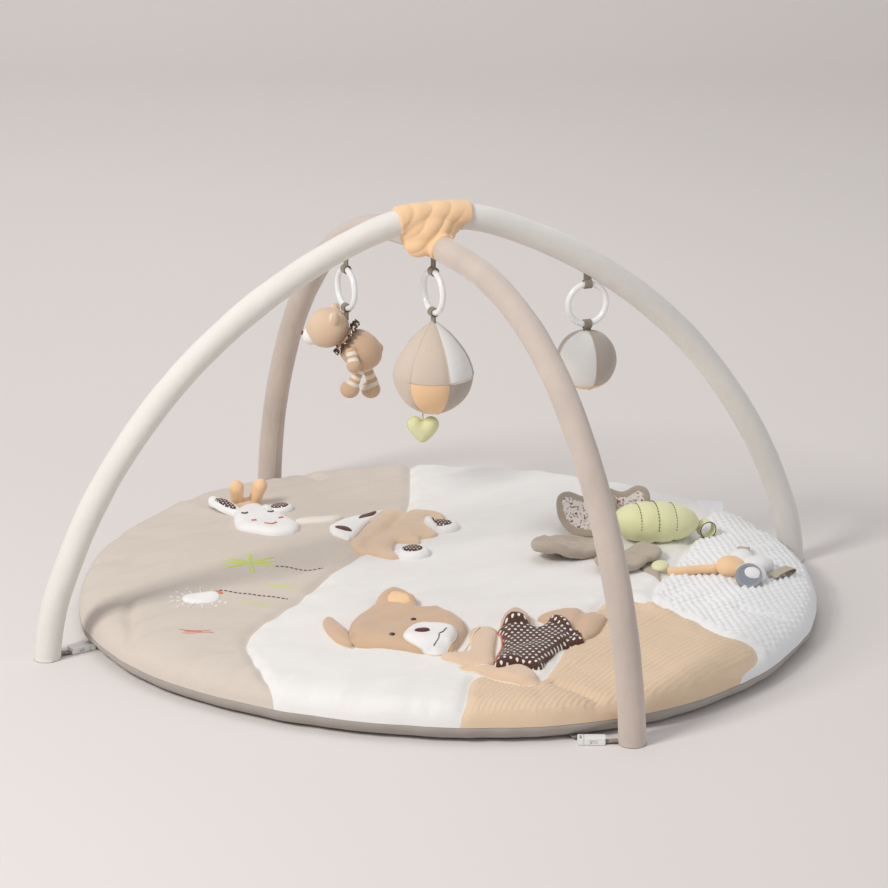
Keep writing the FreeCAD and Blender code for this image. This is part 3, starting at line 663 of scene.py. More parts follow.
RIM_HEIGHT = np.array([19.4, 25, 30, 36, 41, 44.4, 46, 47.2]) * MM


def mat_top(points):
    """Height of the quilted top at each plan point."""
    p = np.asarray(points, float)[:, :2]
    radius = np.hypot(p[:, 0], p[:, 1])
    azimuth = np.arctan2(p[:, 1], p[:, 0])
    inset = np.maximum(edge_at(azimuth) - radius, 0)
    z = np.interp(inset, RIM_INSET, RIM_HEIGHT)
    level = np.zeros(len(p))
    rim = np.column_stack([polar(MAT_RADIUS, azimuth), inset * 0.12])
    gather = value_noise(rim, 0.024, 5) + 0.6 * value_noise(rim, 0.011, 6)
    z += gather * GATHER_HEIGHT * np.exp(-inset / GATHER_REACH) * smooth_step(inset / 0.007)
    flat = np.column_stack([p, level])
    lumps = value_noise(flat, 0.15, 7) * 0.0040 + value_noise(flat, 0.055, 8) * 0.0020
    folds = np.column_stack([p[:, 0] * 0.25 + p[:, 1] * 0.1, p[:, 1] - 0.35 * p[:, 0], level])
    lumps += value_noise(folds, 0.022, 9) * 0.0026
    z += lumps * smooth_step((inset - 0.008) / 0.05)
    clear_of_rim = smooth_step(inset / 0.012)
    for line in SEAMS:
        gap = distance_to(p, line, closed=False)
        z -= SEAM_DEPTH * np.exp(-(gap / SEAM_WIDTH) ** 2) * clear_of_rim
        pull = value_noise(flat, 0.018, 10) * PULL_HEIGHT * np.exp(-gap / PULL_REACH)
        z += pull * clear_of_rim
    for line in TUCKS:
        gap = distance_to(p, line, closed=False)
        z -= TUCK_DEPTH * np.exp(-(gap / TUCK_WIDTH) ** 2) * clear_of_rim
    return z


def edge_run(start, end):
    """Points along the rim from a place to an azimuth."""
    first, last = math.atan2(start[1], start[0]), end
    count = max(3, int(abs(last - first) * MAT_RADIUS / 0.005))
    azimuths = np.linspace(first, last, count + 1)[1:-1]
    return polar(edge_at(azimuths), azimuths)


def azimuth_of(point, turns=0):
    return math.atan2(point[1], point[0]) + turns * 2 * math.pi


def panel(name, outline, material, slot, node, spacing, relief=None):
    points, triangles = fill_plan(outline, spacing, rings=(0.0014, 0.0035, 0.007))
    z = mat_top(points)
    if relief:
        z = z + relief(points) * smooth_step((distance_to(points, outline) - 0.0012) / 0.004)
    obj = make_object(name, np.column_stack([points, z]), triangles, material)
    if obj.data.polygons[0].normal.z < 0:
        obj.data.flip_normals()
    return finish_piece(obj, "root", slot, node, padding=0.55)


BUBBLE_PITCH, BUBBLE_RADIUS, BUBBLE_HEIGHT = 0.0098, 0.0037, 0.0034
RIB_PITCH, RIB_HEIGHT = 0.0066, 0.0013


def bubble_relief(points):
    """Raised dots on a staggered grid, lower at the rim."""
    pitch, row_pitch = BUBBLE_PITCH, BUBBLE_PITCH * 0.87
    turned = np.column_stack([points[:, 0] * 0.94 + points[:, 1] * 0.34,
        points[:, 1] * 0.94 - points[:, 0] * 0.34])
    row = np.floor(turned[:, 1] / row_pitch)
    u = (turned[:, 0] / pitch + row * 0.5) % 1 - 0.5
    v = turned[:, 1] / row_pitch - row - 0.5
    square = (u * pitch) ** 2 + (v * pitch * 0.87) ** 2
    radius = np.hypot(points[:, 0], points[:, 1])
    inset = edge_at(np.arctan2(points[:, 1], points[:, 0])) - radius
    return BUBBLE_HEIGHT * np.maximum(0, 1 - square / BUBBLE_RADIUS ** 2) * smooth_step((inset
        - 0.001) / 0.006)


def rib_relief(points):
    """Corduroy ribs that fan a little across the panel."""
    across = points[:, 1] * 0.82 - points[:, 0] * 0.57 + 0.55 * (points[:, 0] - 0.12) ** 2
    return RIB_HEIGHT * (np.abs(np.sin(across * math.pi / RIB_PITCH)) - 0.6)


beige_outline = np.vstack([BEIGE_SEAM, edge_run(BEIGE_SEAM[-1], azimuth_of(BEIGE_SEAM[0]) - 2 * math.pi)])
white_outline = np.vstack([BEIGE_SEAM[::-1], edge_run(BEIGE_SEAM[0], azimuth_of(BUBBLE_TOP[0])),
    BUBBLE_TOP, CORDUROY_SEAM[1:], edge_run(CORDUROY_SEAM[-1], azimuth_of(BEIGE_SEAM[-1]))])
bubble_outline = np.vstack([BUBBLE_TOP, BUBBLE_SIDE[1:],
    edge_run(BUBBLE_SIDE[-1], azimuth_of(BUBBLE_TOP[0]))])
corduroy_outline = np.vstack([CORDUROY_SEAM, edge_run(CORDUROY_SEAM[-1], azimuth_of(BUBBLE_SIDE[-1])),
    BUBBLE_SIDE[::-1][:-1]])
panel("panel_beige_cloth", beige_outline, "beige", "beige_cotton", "panel_beige", 0.005)
panel("panel_white_velour", white_outline, "white_velour", "white_velour", "panel_white", 0.005)
panel("panel_bubble_plush", bubble_outline, "bubble", "white_bubble_plush", "panel_bubble", 0.0021,
    bubble_relief)
panel("panel_tan_corduroy", corduroy_outline, "corduroy", "tan_corduroy", "panel_corduroy", 0.0017,
    rib_relief)

# Grey underside: its band round the edge and the flat bottom.
azimuths = np.linspace(0, 2 * math.pi, 480, endpoint=False)
band_vertices = []
BAND = [(20.2, 3.0), (19.6, 0.4), (16.5, -0.1), (12.5, 0.8), (8.0, 4.2), (4.0, 9.0), (1.5, 15.0),
    (0.3, 22.0), (0.3, 80.0), (0.3, 200.0), (0.3, 340.0)]
for level, inset in BAND:
    radii = edge_at(azimuths) - inset * MM
    ring = np.column_stack([polar(radii, azimuths), np.full(len(azimuths), level * MM)])
    crease = value_noise(np.column_stack([ring[:, :2], ring[:, 2] * 0.4]), 0.019, 11) * 0.0016
    crease *= smooth_step((19 - level) / 6) * smooth_step(level / 4)
    ring[:, :2] *= (1 + crease / MAT_RADIUS)[:, None]
    band_vertices.append(ring)
around = len(azimuths)
band_faces = lattice(len(BAND), around) + end_faces(len(BAND), around)[1:]
underside = make_object("mat_underside_cloth", np.vstack(band_vertices), band_faces, "grey_cotton")
underside.data.flip_normals()
finish_piece(underside, "root", "grey_cotton", "mat_underside", "mat_wadding", padding=0.55)

# ---------------------------------------------------------------- appliques
PADS = []


def land(points):
    """Height of whatever lies on top at each plan point: the mat, or the pads sewn on so far."""
    z = mat_top(points)
    for outline, base, thickness, edge in PADS:
        within = inside(np.asarray(points)[:, :2], outline)
        if within.any():
            gap = distance_to(np.asarray(points)[within], outline)
            z[within] += base + thickness * pillow(gap, edge)
    return z


def land_at(x, y):
    """Height at one place, given in millimetres."""
    return float(land(np.array([[x * MM, y * MM]]))[0])


# A standing flap covers the same mat as a flat one when it leans back by this much for each unit of height.
LEAN = (-1.08, -2.87)
# How far a patch sinks into what it is sewn to, in millimetres.
SEAT = 0.8


def applique(name, outline, thickness, material, slot, edge=8, spacing=4, step=3, lift=0.0, stand=None,
             nodes=(), piping=None, lumps=0.5, seed=20, register=True, padding=0.6):
    """Stuffed patch sewn to the mat, outlined in plan in millimetres; stand raises it away from a line."""
    rim = smooth_closed([(x * MM, y * MM) for x, y in outline], step * MM)
    rings = (edge * 0.06 * MM, edge * 0.2 * MM, edge * 0.45 * MM)
    points, triangles = fill_plan(rim, spacing * MM, rings=rings)
    gap = distance_to(points, rim)
    profile = pillow(gap, edge * MM)
    under = land(points)
    cloth = np.column_stack([points, under])
    top = under + lift * MM + thickness * MM * profile + value_noise(cloth, 0.016,
        seed) * lumps * MM * profile
    bottom = under + lift * MM - SEAT * MM
    upper, lower = np.column_stack([points, top]), np.column_stack([points, bottom])
    if stand:
        (bx, by), (dx, dy), rate = stand
        away = np.maximum(0, (points[:, 0] - bx * MM) * dx
            + (points[:, 1] - by * MM) * dy) / math.hypot(dx, dy)
        rise = rate * away
        for sheet_points in (upper, lower):
            sheet_points[:, 0] += LEAN[0] * rise
            sheet_points[:, 1] += LEAN[1] * rise
            sheet_points[:, 2] += rise
    faces = sheet_faces(triangles, len(points), len(rim))
    obj = make_object(name, np.vstack([upper, lower]), faces, material)
    turn_outwards(obj)
    finish_piece(obj, "root", slot, *nodes, padding=padding)
    if piping:
        edge_line = upper[:len(rim)].copy()
        edge_line[:, 2] += 0.5 * MM
        cord = tube_along(name + "_edge", edge_line, 0.9 * MM, piping, sides=6, closed=True)
        finish_piece(cord, "root", slot)
    if register:
        PADS.append((rim, lift * MM, thickness * MM, edge * MM))
    return obj


def stitches(name, points, material, slot="peach_fabric", radius=0.7, dash=None, lift=0.5, gap=0.5):
    """Thread on the surface, in millimetres in plan: a whole line, or a row of dashes."""
    line = smooth_open([(x * MM, y * MM) for x, y in points], 0.0015)
    line = np.column_stack([line, land(line) + lift * MM])
    if dash is None:
        return finish_piece(tube_along(name, line, radius * MM, material, sides=6), "root", slot)
    run = run_along(line)
    pieces = []
    start = 0.0
    while start < run[-1]:
        end = min(start + dash * (1 - gap) * MM, run[-1])
        at = np.linspace(start, end, 4)
        piece = np.column_stack([np.interp(at, run, line[:, k]) for k in range(3)])
        piece[[0, -1], 2] -= 0.4 * MM
        pieces.append(tube_along(name, piece, radius * MM, material, sides=5))
        start += dash * MM
    return finish_piece(joined(name, pieces), "root", slot)


def satin(name, start, end, half_width, material, slot="peach_fabric", bow=0.0):
    """Leaf-shaped patch of satin stitch between two places."""
    a, b = np.array(start, float), np.array(end, float)
    run = b - a
    normal = np.array([-run[1], run[0]]) / np.linalg.norm(run)
    widths = ((0.2, 0.8), (0.5, 1.0), (0.8, 0.7))
    left = [a + run * t + normal * (half_width * w + bow * math.sin(math.pi * t)) for t, w in widths]
    right = [a + run * t - normal * (half_width * w - bow * math.sin(math.pi * t))
        for t, w in widths[::-1]]
    return applique(name, [a] + left + [b] + right, 1.0, material, slot, edge=2.5, spacing=2.5, step=2,
        lumps=0.1, register=False, padding=0.2)


def oval(centre, radii, angle=0.0, count=16):
    turn = math.radians(angle)
    out = []
    for k in range(count):
        a = 2 * math.pi * k / count
        u, v = radii[0] * math.cos(a), radii[1] * math.sin(a)
        out.append((centre[0] + u * math.cos(turn) - v * math.sin(turn),
            centre[1] + u * math.sin(turn) + v * math.cos(turn)))
    return out


# The bear.
applique("bear_near_leg", [(-86, -309), (-46, -324), (-22, -326), (-13, -355), (-16, -381), (-31, -388),
    (-57, -351)], 6, "light_tan", "tan_plush", edge=12, piping="cream", nodes=("bear_limbs",))
applique("bear_far_leg", [(52, -218), (64, -199), (85, -196), (107, -205), (126, -226), (125, -246),
    (77, -293)], 9, "tan", "tan_plush", edge=15)
applique("bear_far_ear", [(-116, -121), (-101, -75), (-79, -48), (-65, -47), (-54, -65), (-62, -110),
    (-74, -150)], 7, "tan", "tan_plush", edge=10, stand=((-88, -118), (0.35, 0.94), 0.17),
    register=False)
applique("bear_far_ear_lining", [(-96, -108), (-88, -78), (-76, -62), (-68, -64), (-66, -84),
    (-72, -112)], 3, "peach", "peach_fabric", edge=8, lift=6, stand=((-88, -118), (0.35, 0.94), 0.17),
    register=False)
applique("bear_near_ear", [(-178, -206), (-192, -194), (-194, -161), (-187, -124), (-174, -123),
    (-170, -151), (-171, -170)], 9, "tan", "tan_plush", edge=9, piping="cream")
applique("bear_chest", [(-30, -204), (-4, -217), (-30, -280), (-49, -322), (-72, -313), (-94, -283),
    (-88, -266), (-57, -268)], 7, "light_tan", "tan_plush", edge=12, piping="cream")
applique("bear_head_plush", [(-178, -197), (-169, -165), (-152, -132), (-127, -109), (-109, -97),
    (-84, -105), (-66, -127), (-42, -132), (-34, -162), (-33, -196), (-39, -213), (-70, -260),
    (-86, -260), (-111, -254), (-132, -237), (-155, -219), (-175, -205)], 13, "tan", "tan_plush",
    edge=20, nodes=("bear_head",), lumps=0.9)
applique("bear_muzzle", [(-120, -220), (-106, -203), (-89, -196), (-73, -202), (-57, -224), (-72, -254),
    (-94, -265), (-110, -253), (-122, -235)], 5, "white_plush", "tan_plush", edge=9, piping="cream")
applique("bear_nose", oval((-100, -227), (9, 6), -20), 2.5, "brown_felt", "tan_plush", edge=4,
    spacing=2, step=2)
for number, (x, y) in enumerate(((-95, -185), (-133, -216))):
    height = land_at(x, y)
    eye = ellipsoid(f"bear_eye_{number}", (x * MM, y * MM, height + 0.0006), (0.0034, 0.0034, 0.0019),
        "bead", rings=8, segments=16)
    finish_piece(eye, "root", "tan_plush")
stitches("bear_mouth", [(-84, -242), (-79, -240), (-75, -235), (-71, -231)], "dark_thread", "tan_plush",
    0.5)
stitches("bear_smile", [(-97, -257), (-92, -254), (-88, -250), (-85, -243)], "dark_thread", "tan_plush",
    0.5)
stitches("bear_chest_seam", [(-78, -276), (-60, -262), (-42, -236), (-22, -212)], "cream", "tan_plush",
    0.9)
applique("bear_paw", [(3, -222), (13, -192), (32, -174), (46, -185), (42, -216), (27, -237)], 16, "tan",
    "tan_plush", edge=17, lumps=0.9)
applique("bear_shorts_cloth", [(-6, -228), (15, -216), (33, -236), (41, -242), (60, -233), (72, -248),
    (74, -300), (55, -300), (41, -307), (13, -335), (-4, -353), (-23, -340), (-51, -336), (-38, -303),
    (-17, -273), (-7, -244)], 10, "dotted", "brown_dotted_cotton", edge=14, nodes=("bear_shorts",),
    lumps=0.8)
stitches("bear_waist", [(-8, -229), (-8, -244), (-18, -272), (-38, -302), (-50, -334)], "orange_thread",
    "brown_dotted_cotton", 1.2, lift=0.6)

# The giraffe.
applique("giraffe_neck", [(-93, 244), (-49, 236), (-39, 227), (-60, 217), (-96, 230)], 5, "pale_plush",
    "pale_plush", edge=8)
applique("giraffe_hands", [(-67, 197), (-59, 208), (-30, 225), (-6, 230), (23, 240), (11, 227),
    (-19, 193), (-58, 146), (-64, 155), (-72, 171)], 5, "white_plush", "pale_plush", edge=9,
    piping="cream")
applique("giraffe_body_plush", [(16, 229), (48, 221), (84, 196), (81, 177), (61, 177), (50, 119),
    (26, 115), (18, 98), (-8, 107), (-20, 85), (-21, 66), (-41, 70), (-66, 99), (-64, 128), (-44, 155),
    (-15, 192)], 9, "light_tan", "pale_plush", edge=16, nodes=("giraffe_body",), lumps=0.9)
satin("giraffe_hand_mark_0", (-62, 190), (-48, 166), 6, "brown_felt", "pale_plush")
satin("giraffe_hand_mark_1", (-22, 212), (8, 230), 5, "brown_felt", "pale_plush")
applique("giraffe_left_ear", oval((-163, 331), (40, 13), 100), 6, "white_plush", "pale_plush", edge=7,
    nodes=("giraffe_ears",), stand=((-160, 296), (-0.2, 0.98), 0.10), register=False)
applique("giraffe_left_lining", oval((-163, 330), (26, 6.5), 100), 2, "lining_dots", "pale_plush",
    edge=4, lift=6, stand=((-160, 296), (-0.2, 0.98), 0.10), register=False, step=2, spacing=3)
applique("giraffe_right_ear", oval((-104, 291), (21, 17), 20), 7, "white_plush", "pale_plush", edge=8)
applique("giraffe_right_lining", oval((-103, 290), (12.5, 9.5), 20), 2, "lining_dots", "pale_plush",
    edge=4, spacing=3, step=2)
applique("giraffe_face", [(-153, 311), (-138, 320), (-120, 313), (-117, 280), (-106, 254), (-100, 224),
    (-108, 200), (-122, 191), (-144, 193), (-159, 208), (-176, 229), (-174, 259), (-163, 297)], 9,
    "white_plush", "pale_plush", edge=14, nodes=("giraffe_head",))
for number, (x, y) in enumerate(((-157, 268), (-124, 262))):
    stitches(f"giraffe_eye_{number}", [(x - 4, y + 2), (x, y - 1), (x + 4, y + 2)], "dark_thread",
        "pale_plush", 0.9)
stitches("giraffe_nose", [(-146, 222), (-138, 216), (-130, 222)], "orange_thread", "pale_plush", 1.0)
stitches("giraffe_cheek_left", [(-158, 238), (-152, 236)], "red_thread", "pale_plush", 1.2)
stitches("giraffe_cheek_right", [(-122, 236), (-116, 238)], "red_thread", "pale_plush", 1.2)
horns = []
for number, ((bx, by), (tx, ty)) in enumerate((((-146, 338), (-152, 328)), ((-126, 333), (-118, 326)))):
    ground = land_at(bx, by)
    low, high = np.array([bx * MM, by * MM, ground - 0.004]), np.array([tx * MM, ty * MM - 0.01,
        ground + 0.036])
    path = np.array([low + (high - low) * t for t in np.linspace(0, 1, 14)])
    radii = 0.0072 + 0.0034 * np.linspace(0, 1, 14)
    radii[-3:] *= (0.92, 0.68, 0.2)
    horns.append(tube_along(f"horn_{number}", path, radii, "peach", sides=16))
finish_piece(melt("giraffe_horns", horns, 0.0012, "peach", 3), "root", "pale_plush", padding=0.7)
applique("giraffe_horn_base", oval((-136, 330), (20, 12), -10), 8, "light_tan", "pale_plush", edge=9)
for number, (x, y) in enumerate(((64, 140), (-1, 72))):
    nodes = ("giraffe_soles",) if number == 0 else ()
    applique(f"giraffe_sole_{number}", oval((x, y), (23, 17), -10), 9, "white_plush", "pale_plush",
        edge=8, nodes=nodes)
    applique(f"giraffe_sole_pad_{number}", oval((x, y), (13, 9), -10), 2, "lining_dots", "pale_plush",
        edge=4, spacing=3, step=2)

# Embroidery.
centre = (-203, 106)
for number, tip in enumerate(((-228, 133), (-240, 97), (-168, 112), (-176, 80), (-192, 141), (-211, 66),
                              (-236, 118), (-172, 96))):
    satin(f"lime_flower_{number}", centre, tip, 3.2, "lime_thread")
applique("lime_flower_heart", oval(centre, (5, 5)), 1.4, "lime_thread", "peach_fabric", edge=3,
    spacing=2, step=1.5, register=False)
stitches("lime_flower_stem", [(-178, 79), (-152, 62), (-128, 46)], "dark_thread", dash=6, gap=0.35)
satin("lime_stroke_0", (-215, 18), (-180, -9), 2.0, "lime_thread", bow=2)
satin("lime_stroke_1", (-255, -20), (-217, -51), 2.0, "lime_thread", bow=2)
applique("white_flower", oval((-296, 9), (23, 19), -20), 3.0, "white_plush", "peach_fabric", edge=9,
    lumps=0.8, register=False)
for number in range(11):
    angle = math.radians(50 + number * 26)
    near = (-296 + 17 * math.cos(angle), 9 + 14 * math.sin(angle))
    far = (-296 + 40 * math.cos(angle), 9 + 36 * math.sin(angle))
    stitches(f"white_flower_ray_{number}", [near, far], "white_plush", dash=8, gap=0.3, radius=1.0)
satin("white_flower_calyx", (-284, 24), (-268, 8), 5, "orange_thread")
stitches("white_flower_stem", [(-270, 18), (-236, -4), (-199, -29)], "dark_thread", dash=6, gap=0.35)
satin("red_mark", (-349, -91), (-328, -102), 1.8, "red_thread", bow=1)
for number, shift in enumerate((-5, 6)):
    stitches(f"red_mark_line_{number}", [(-352, -92 + shift), (-336, -101 + shift),
        (-318, -108 + shift)], "orange_thread", radius=0.28)


# ---------------------------------------------------------------- arches
def half_arch(height, joins):
    """Centreline of the right half from crown to foot: arcs that meet with a common tangent."""
    point, angle = np.array([0.0, height]), 0.0
    path = [point]
    for share_x, share_z in joins + [(1.0, 0.0)]:
        target = np.array([share_x * HALF_SPAN, share_z * height])
        chord = target - point
        half = math.atan2(chord[1], chord[0]) - angle
        radius = np.linalg.norm(chord) / (2 * math.sin(half))
        for t in np.linspace(0, 1, 60)[1:]:
            turn = angle + 2 * half * t
            path.append(point + radius * np.array([math.sin(turn) - math.sin(angle),
                math.cos(angle) - math.cos(turn)]))
        angle += 2 * half
        point = target
    path.append(point + 0.008 * np.array([math.cos(angle), math.sin(angle)]))
    return np.array(path)


def even_spacing(path, step):
    run = run_along(path)
    at = np.linspace(0, run[-1], int(run[-1] / step) + 1)
    return np.column_stack([np.interp(at, run, path[:, k]) for k in range(path.shape[1])]), at


COVER_RADIUS = TUBE_RADIUS - 0.0003


def arch(name, height, joins, azimuth, material, slot, body, nodes, seed):
    right = half_arch(height, joins)
    left = right[::-1][:-1] * np.array([-1, 1])
    plane, run = even_spacing(np.vstack([left, right]), 0.004)
    c, s = math.cos(azimuth), math.sin(azimuth)
    path = np.column_stack([plane[:, 0] * c, plane[:, 0] * s, plane[:, 1]])
    tangent = unit_rows(np.gradient(path, axis=0))
    across = np.array([-s, c, 0.0])
    sides = 44
    vertices = []
    for k in range(len(path)):
        up = np.cross(tangent[k], across)
        angles = 2 * math.pi * np.arange(sides) / sides
        direction = np.cos(angles)[:, None] * across + np.sin(angles)[:, None] * up
        key = np.column_stack([np.cos(angles) * 0.03, np.sin(angles) * 0.03,
            np.full(sides, run[k] * 0.8)])
        crease = value_noise(key, 0.014, seed) * 0.00035 + value_noise(key, 0.05, seed + 1) * 0.0006
        vertices.append(path[k] + direction * (COVER_RADIUS + crease)[:, None])
    vertices = np.vstack(vertices)
    vertices[:, 2] = np.maximum(vertices[:, 2], 0.0006)
    faces = lattice(len(path), sides) + [face[::-1] for face in end_faces(len(path), sides)]
    cover = make_object(name + "_velour", vertices, faces, material)
    turn_outwards(cover)
    finish_piece(cover, body, slot, *nodes, padding=0.9)
    inner = np.cross(tangent, across)
    seam_line = path - inner * COVER_RADIUS * (1 if inner[len(path) // 2, 2] > 0 else -1)
    seam_line = seam_line[seam_line[:, 2] > 0.006]
    finish_piece(tube_along(name + "_seam", seam_line, 0.0006, material, sides=6), body, slot)
    return path


arch("white_arch", WHITE_HEIGHT, WHITE_JOINS, 0.0, "ivory", "ivory_velour", "root",
    ("white_cover", "white_foam"), 31)
arch("taupe_arch", TAUPE_HEIGHT, TAUPE_JOINS, CROSSING, "taupe_velvet", "taupe_velvet", "taupe_arch",
    ("taupe_cover", "taupe_foam"), 41)


# ---------------------------------------------------------------- crown wrap
WRAP_RADIUS = TUBE_RADIUS + 0.0024
FOLD_PITCH, FOLD_HEIGHT = 0.0125, 0.0026


def crown_wrap():
    """Peach cloth folded over the white arch and round the taupe one, with slanting folds."""
    forms = []
    white_path = np.array([(x, 0, WHITE_HEIGHT - 0.45 * (x / 0.3) ** 2 * 0.27)
        for x in np.linspace(-0.047, 0.045, 12)])
    forms.append(tube_along("wrap_a", white_path, WRAP_RADIUS, "peach", sides=40))
    c, s = math.cos(CROSSING), math.sin(CROSSING)
    taupe_path = np.array([(t * c, t * s, TAUPE_HEIGHT - 0.2 * t ** 2 / 0.3)
        for t in np.linspace(-0.030, 0.030, 12)])
    forms.append(tube_along("wrap_b", taupe_path, WRAP_RADIUS, "peach", sides=40))
    forms.append(ellipsoid("wrap_c", (-0.006, -0.004, 0.479), (0.038, 0.0225, 0.0265), "peach"))
    forms.append(ellipsoid("wrap_d", (-0.016, -0.010, 0.466), (0.024, 0.0165, 0.0165), "peach"))
    wrap = melt("crown_wrap_cloth", forms, 0.0014, "peach", 12)
    mesh = bmesh.new()
    mesh.from_mesh(wrap.data)
    for place, normal in (((0.020, -0.020, 0.4755), (0.62, -0.30, -0.72)),
                          ((-0.022, 0.022, 0.472), (-0.62, 0.30, -0.72)),
                          ((0, 0, 0.4530), (0, 0, -1))):
        everything = mesh.verts[:] + mesh.edges[:] + mesh.faces[:]
        bmesh.ops.bisect_plane(mesh, geom=everything, plane_co=place, plane_no=normal)
        place, normal = Vector(place), Vector(normal)
        ahead = [v for v in mesh.verts if (v.co - place).dot(normal) > 1e-6]
        if normal.x:
            hand = 1 if normal.x > 0 else -1
            ahead = [v for v in ahead if v.co.x * hand > 0 and v.co.y * hand < 0]
        for vertex in ahead:
            vertex.co -= normal * (vertex.co - place).dot(normal) / normal.length_squared
    mesh.to_mesh(wrap.data)
    mesh.free()
    points = points_of(wrap)
    slant = points[:, 0] * 0.62 - (points[:, 2] - 0.48) * 0.62 + points[:, 1] * 0.25
    wander = value_noise(points, 0.03, 50) * 0.004
    inner = np.clip(1 - np.abs(points[:, 0] + 0.006) / 0.045, 0, 1) ** 0.7
    fold = np.abs(np.sin((slant + wander) * math.pi / FOLD_PITCH)) ** 0.7
    shift = (fold - 0.75) * FOLD_HEIGHT * inner + value_noise(points, 0.010, 51) * 0.0004
    swell(wrap, points, shift)
    shade_smooth(wrap)
    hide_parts("crown_wrap", "crown_tail")
    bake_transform(wrap)


crown_wrap()

# ---------------------------------------------------------------- rings and webbing loops
LOOP = RING_SECTION + 0.0009
WEB, WEB_WIDTH = 0.0011, 0.0098
PLY_GAP = 0.00065


def strap(name, path, across, width, thickness, material):
    """Flat webbing along a path; across is its width direction, one for all or one for each point."""
    path = np.asarray(path, float)
    across = np.broadcast_to(np.asarray(across, float), path.shape)
    normal = unit_rows(np.cross(unit_rows(np.gradient(path, axis=0)), across))
    section = [(-0.5, -0.35), (-0.46, -0.5), (0.46, -0.5), (0.5, -0.35), (0.5, 0.35), (0.46, 0.5),
        (-0.46, 0.5), (-0.5, 0.35)]
    vertices = [path[k] + across[k] * u * width + normal[k] * v * thickness for k in range(len(path))
        for u, v in section]
    faces = lattice(len(path), len(section)) + end_faces(len(path), len(section))
    return make_object(name, vertices, faces, material, smooth=False)


def ring_loop(centre, azimuth, neck, upward):
    """Path of webbing round the ring's bar at centre, with both ends side by side."""
    side = np.array([-math.sin(azimuth), math.cos(azimuth), 0])
    up = np.array([0, 0, 1.0 if upward else -1.0])
    radius = LOOP + WEB / 2
    half = PLY_GAP
    first = math.acos(half / radius)
    path = [np.array(centre) + side * half + up * (radius * math.sin(first) + neck * t)
        for t in np.linspace(1, 0.15, 5)]
    for angle in np.linspace(first, first - 2 * math.pi + 2 * (math.pi / 2 - first), 28):
        path.append(np.array(centre) + side * radius * math.cos(angle) + up * radius * math.sin(angle))
    path += [np.array(centre) - side * half + up * (radius * math.sin(first) + neck * t)
        for t in np.linspace(0.15, 1, 5)]
    return path, (math.cos(azimuth), math.sin(azimuth), 0)


TOP_LEFT, TOP_MIDDLE, TOP_RIGHT = (-0.02645, 0.24156, 0.37402), (0, 0, 0.4288), (0.201, 0, 0.39393)
LOW_LEFT, LOW_MIDDLE, LOW_RIGHT = (-0.02645, 0.24156, 0.32362), (0, 0, 0.3784), (0.201, 0, 0.34353)
for place, top, low, azimuth, body, toy, up_neck, down_neck in (
        ("left", TOP_LEFT, LOW_LEFT, CROSSING, "taupe_arch", "hanging_bear", 0.021, 0.010),
        ("middle", TOP_MIDDLE, LOW_MIDDLE, CROSSING, "taupe_arch", "music_ball", 0.016, 0.007),
        ("right", TOP_RIGHT, LOW_RIGHT, 0.0, "root", "small_ball", 0.010, 0.005)):
    circle = [(top[0] + RING_RADIUS * math.cos(a) * math.cos(azimuth),
        top[1] + RING_RADIUS * math.cos(a) * math.sin(azimuth),
        top[2] - RING_RADIUS + RING_RADIUS * math.sin(a))
        for a in np.linspace(0, 2 * math.pi, 96, endpoint=False)]
    ring = tube_along(f"ring_{place}_gloss", circle, RING_SECTION, "ring", sides=24, closed=True)
    finish_piece(ring, "ring_" + place, "ring_plastic", "ring_" + place)
    path, across = ring_loop(top, azimuth, up_neck, True)
    hanger_node = "white_hangers" if place == "right" else "taupe_hangers"
    finish_piece(strap(f"hanger_{place}", path, across, WEB_WIDTH, WEB, "webbing"), body, "webbing",
        hanger_node)
    path, across = ring_loop(low, azimuth, down_neck, False)
    finish_piece(strap(f"toy_loop_{place}", path, across, WEB_WIDTH, WEB, "webbing"), toy, "webbing",
        "top_loop_" + place)


# ---------------------------------------------------------------- balls
GORE_SIDES = 20


def gored_ball(name, centre, profile, gores, pinch, materials, choose, body, slot, nodes, turn=0.0,
               cap=0.002):
    """Ball sewn from gores: a turned profile pinched at each seam, then stuffed."""
    heights, radii = profile
    around, steps = gores * GORE_SIDES, len(heights)
    vertices = []
    for k in range(steps):
        for i in range(around):
            angle = turn + 2 * math.pi * i / around
            share = (i % GORE_SIDES) / GORE_SIDES
            squeeze = 1 - pinch * (abs(2 * share - 1)) ** 5
            vertices.append((radii[k] * squeeze * math.cos(angle), radii[k] * squeeze * math.sin(angle),
                heights[k]))
    faces = lattice(steps, around) + end_faces(steps, around)
    obj = make_object(name, np.array(vertices) + np.array(centre), faces, materials[0])
    puff(obj, cap)
    roughen(obj, 0.016, 0.0005, 60)
    for material in materials[1:]:
        obj.data.materials.append(M[material])
    for polygon in obj.data.polygons:
        p = polygon.center - Vector(centre)
        gore = int(((math.atan2(p.y, p.x) - turn) / (2 * math.pi) * gores) % gores)
        polygon.material_index = choose(gore, p.z)
        polygon.use_smooth = True
    return finish_piece(obj, body, slot, *nodes, padding=0.85)


def gore_seams(name, centre, profile, gores, pinch, turn, body, slot, material):
    lines = []
    heights, radii = profile
    for gore in range(gores):
        angle = turn + 2 * math.pi * gore / gores
        line = [(centre[0] + r * (1 - pinch) * math.cos(angle),
            centre[1] + r * (1 - pinch) * math.sin(angle), centre[2] + h)
            for h, r in zip(heights, radii)]
        lines.append(tube_along(f"{name}_{gore}", line, 0.00055, material, sides=5))
    finish_piece(joined(name, lines), body, slot)


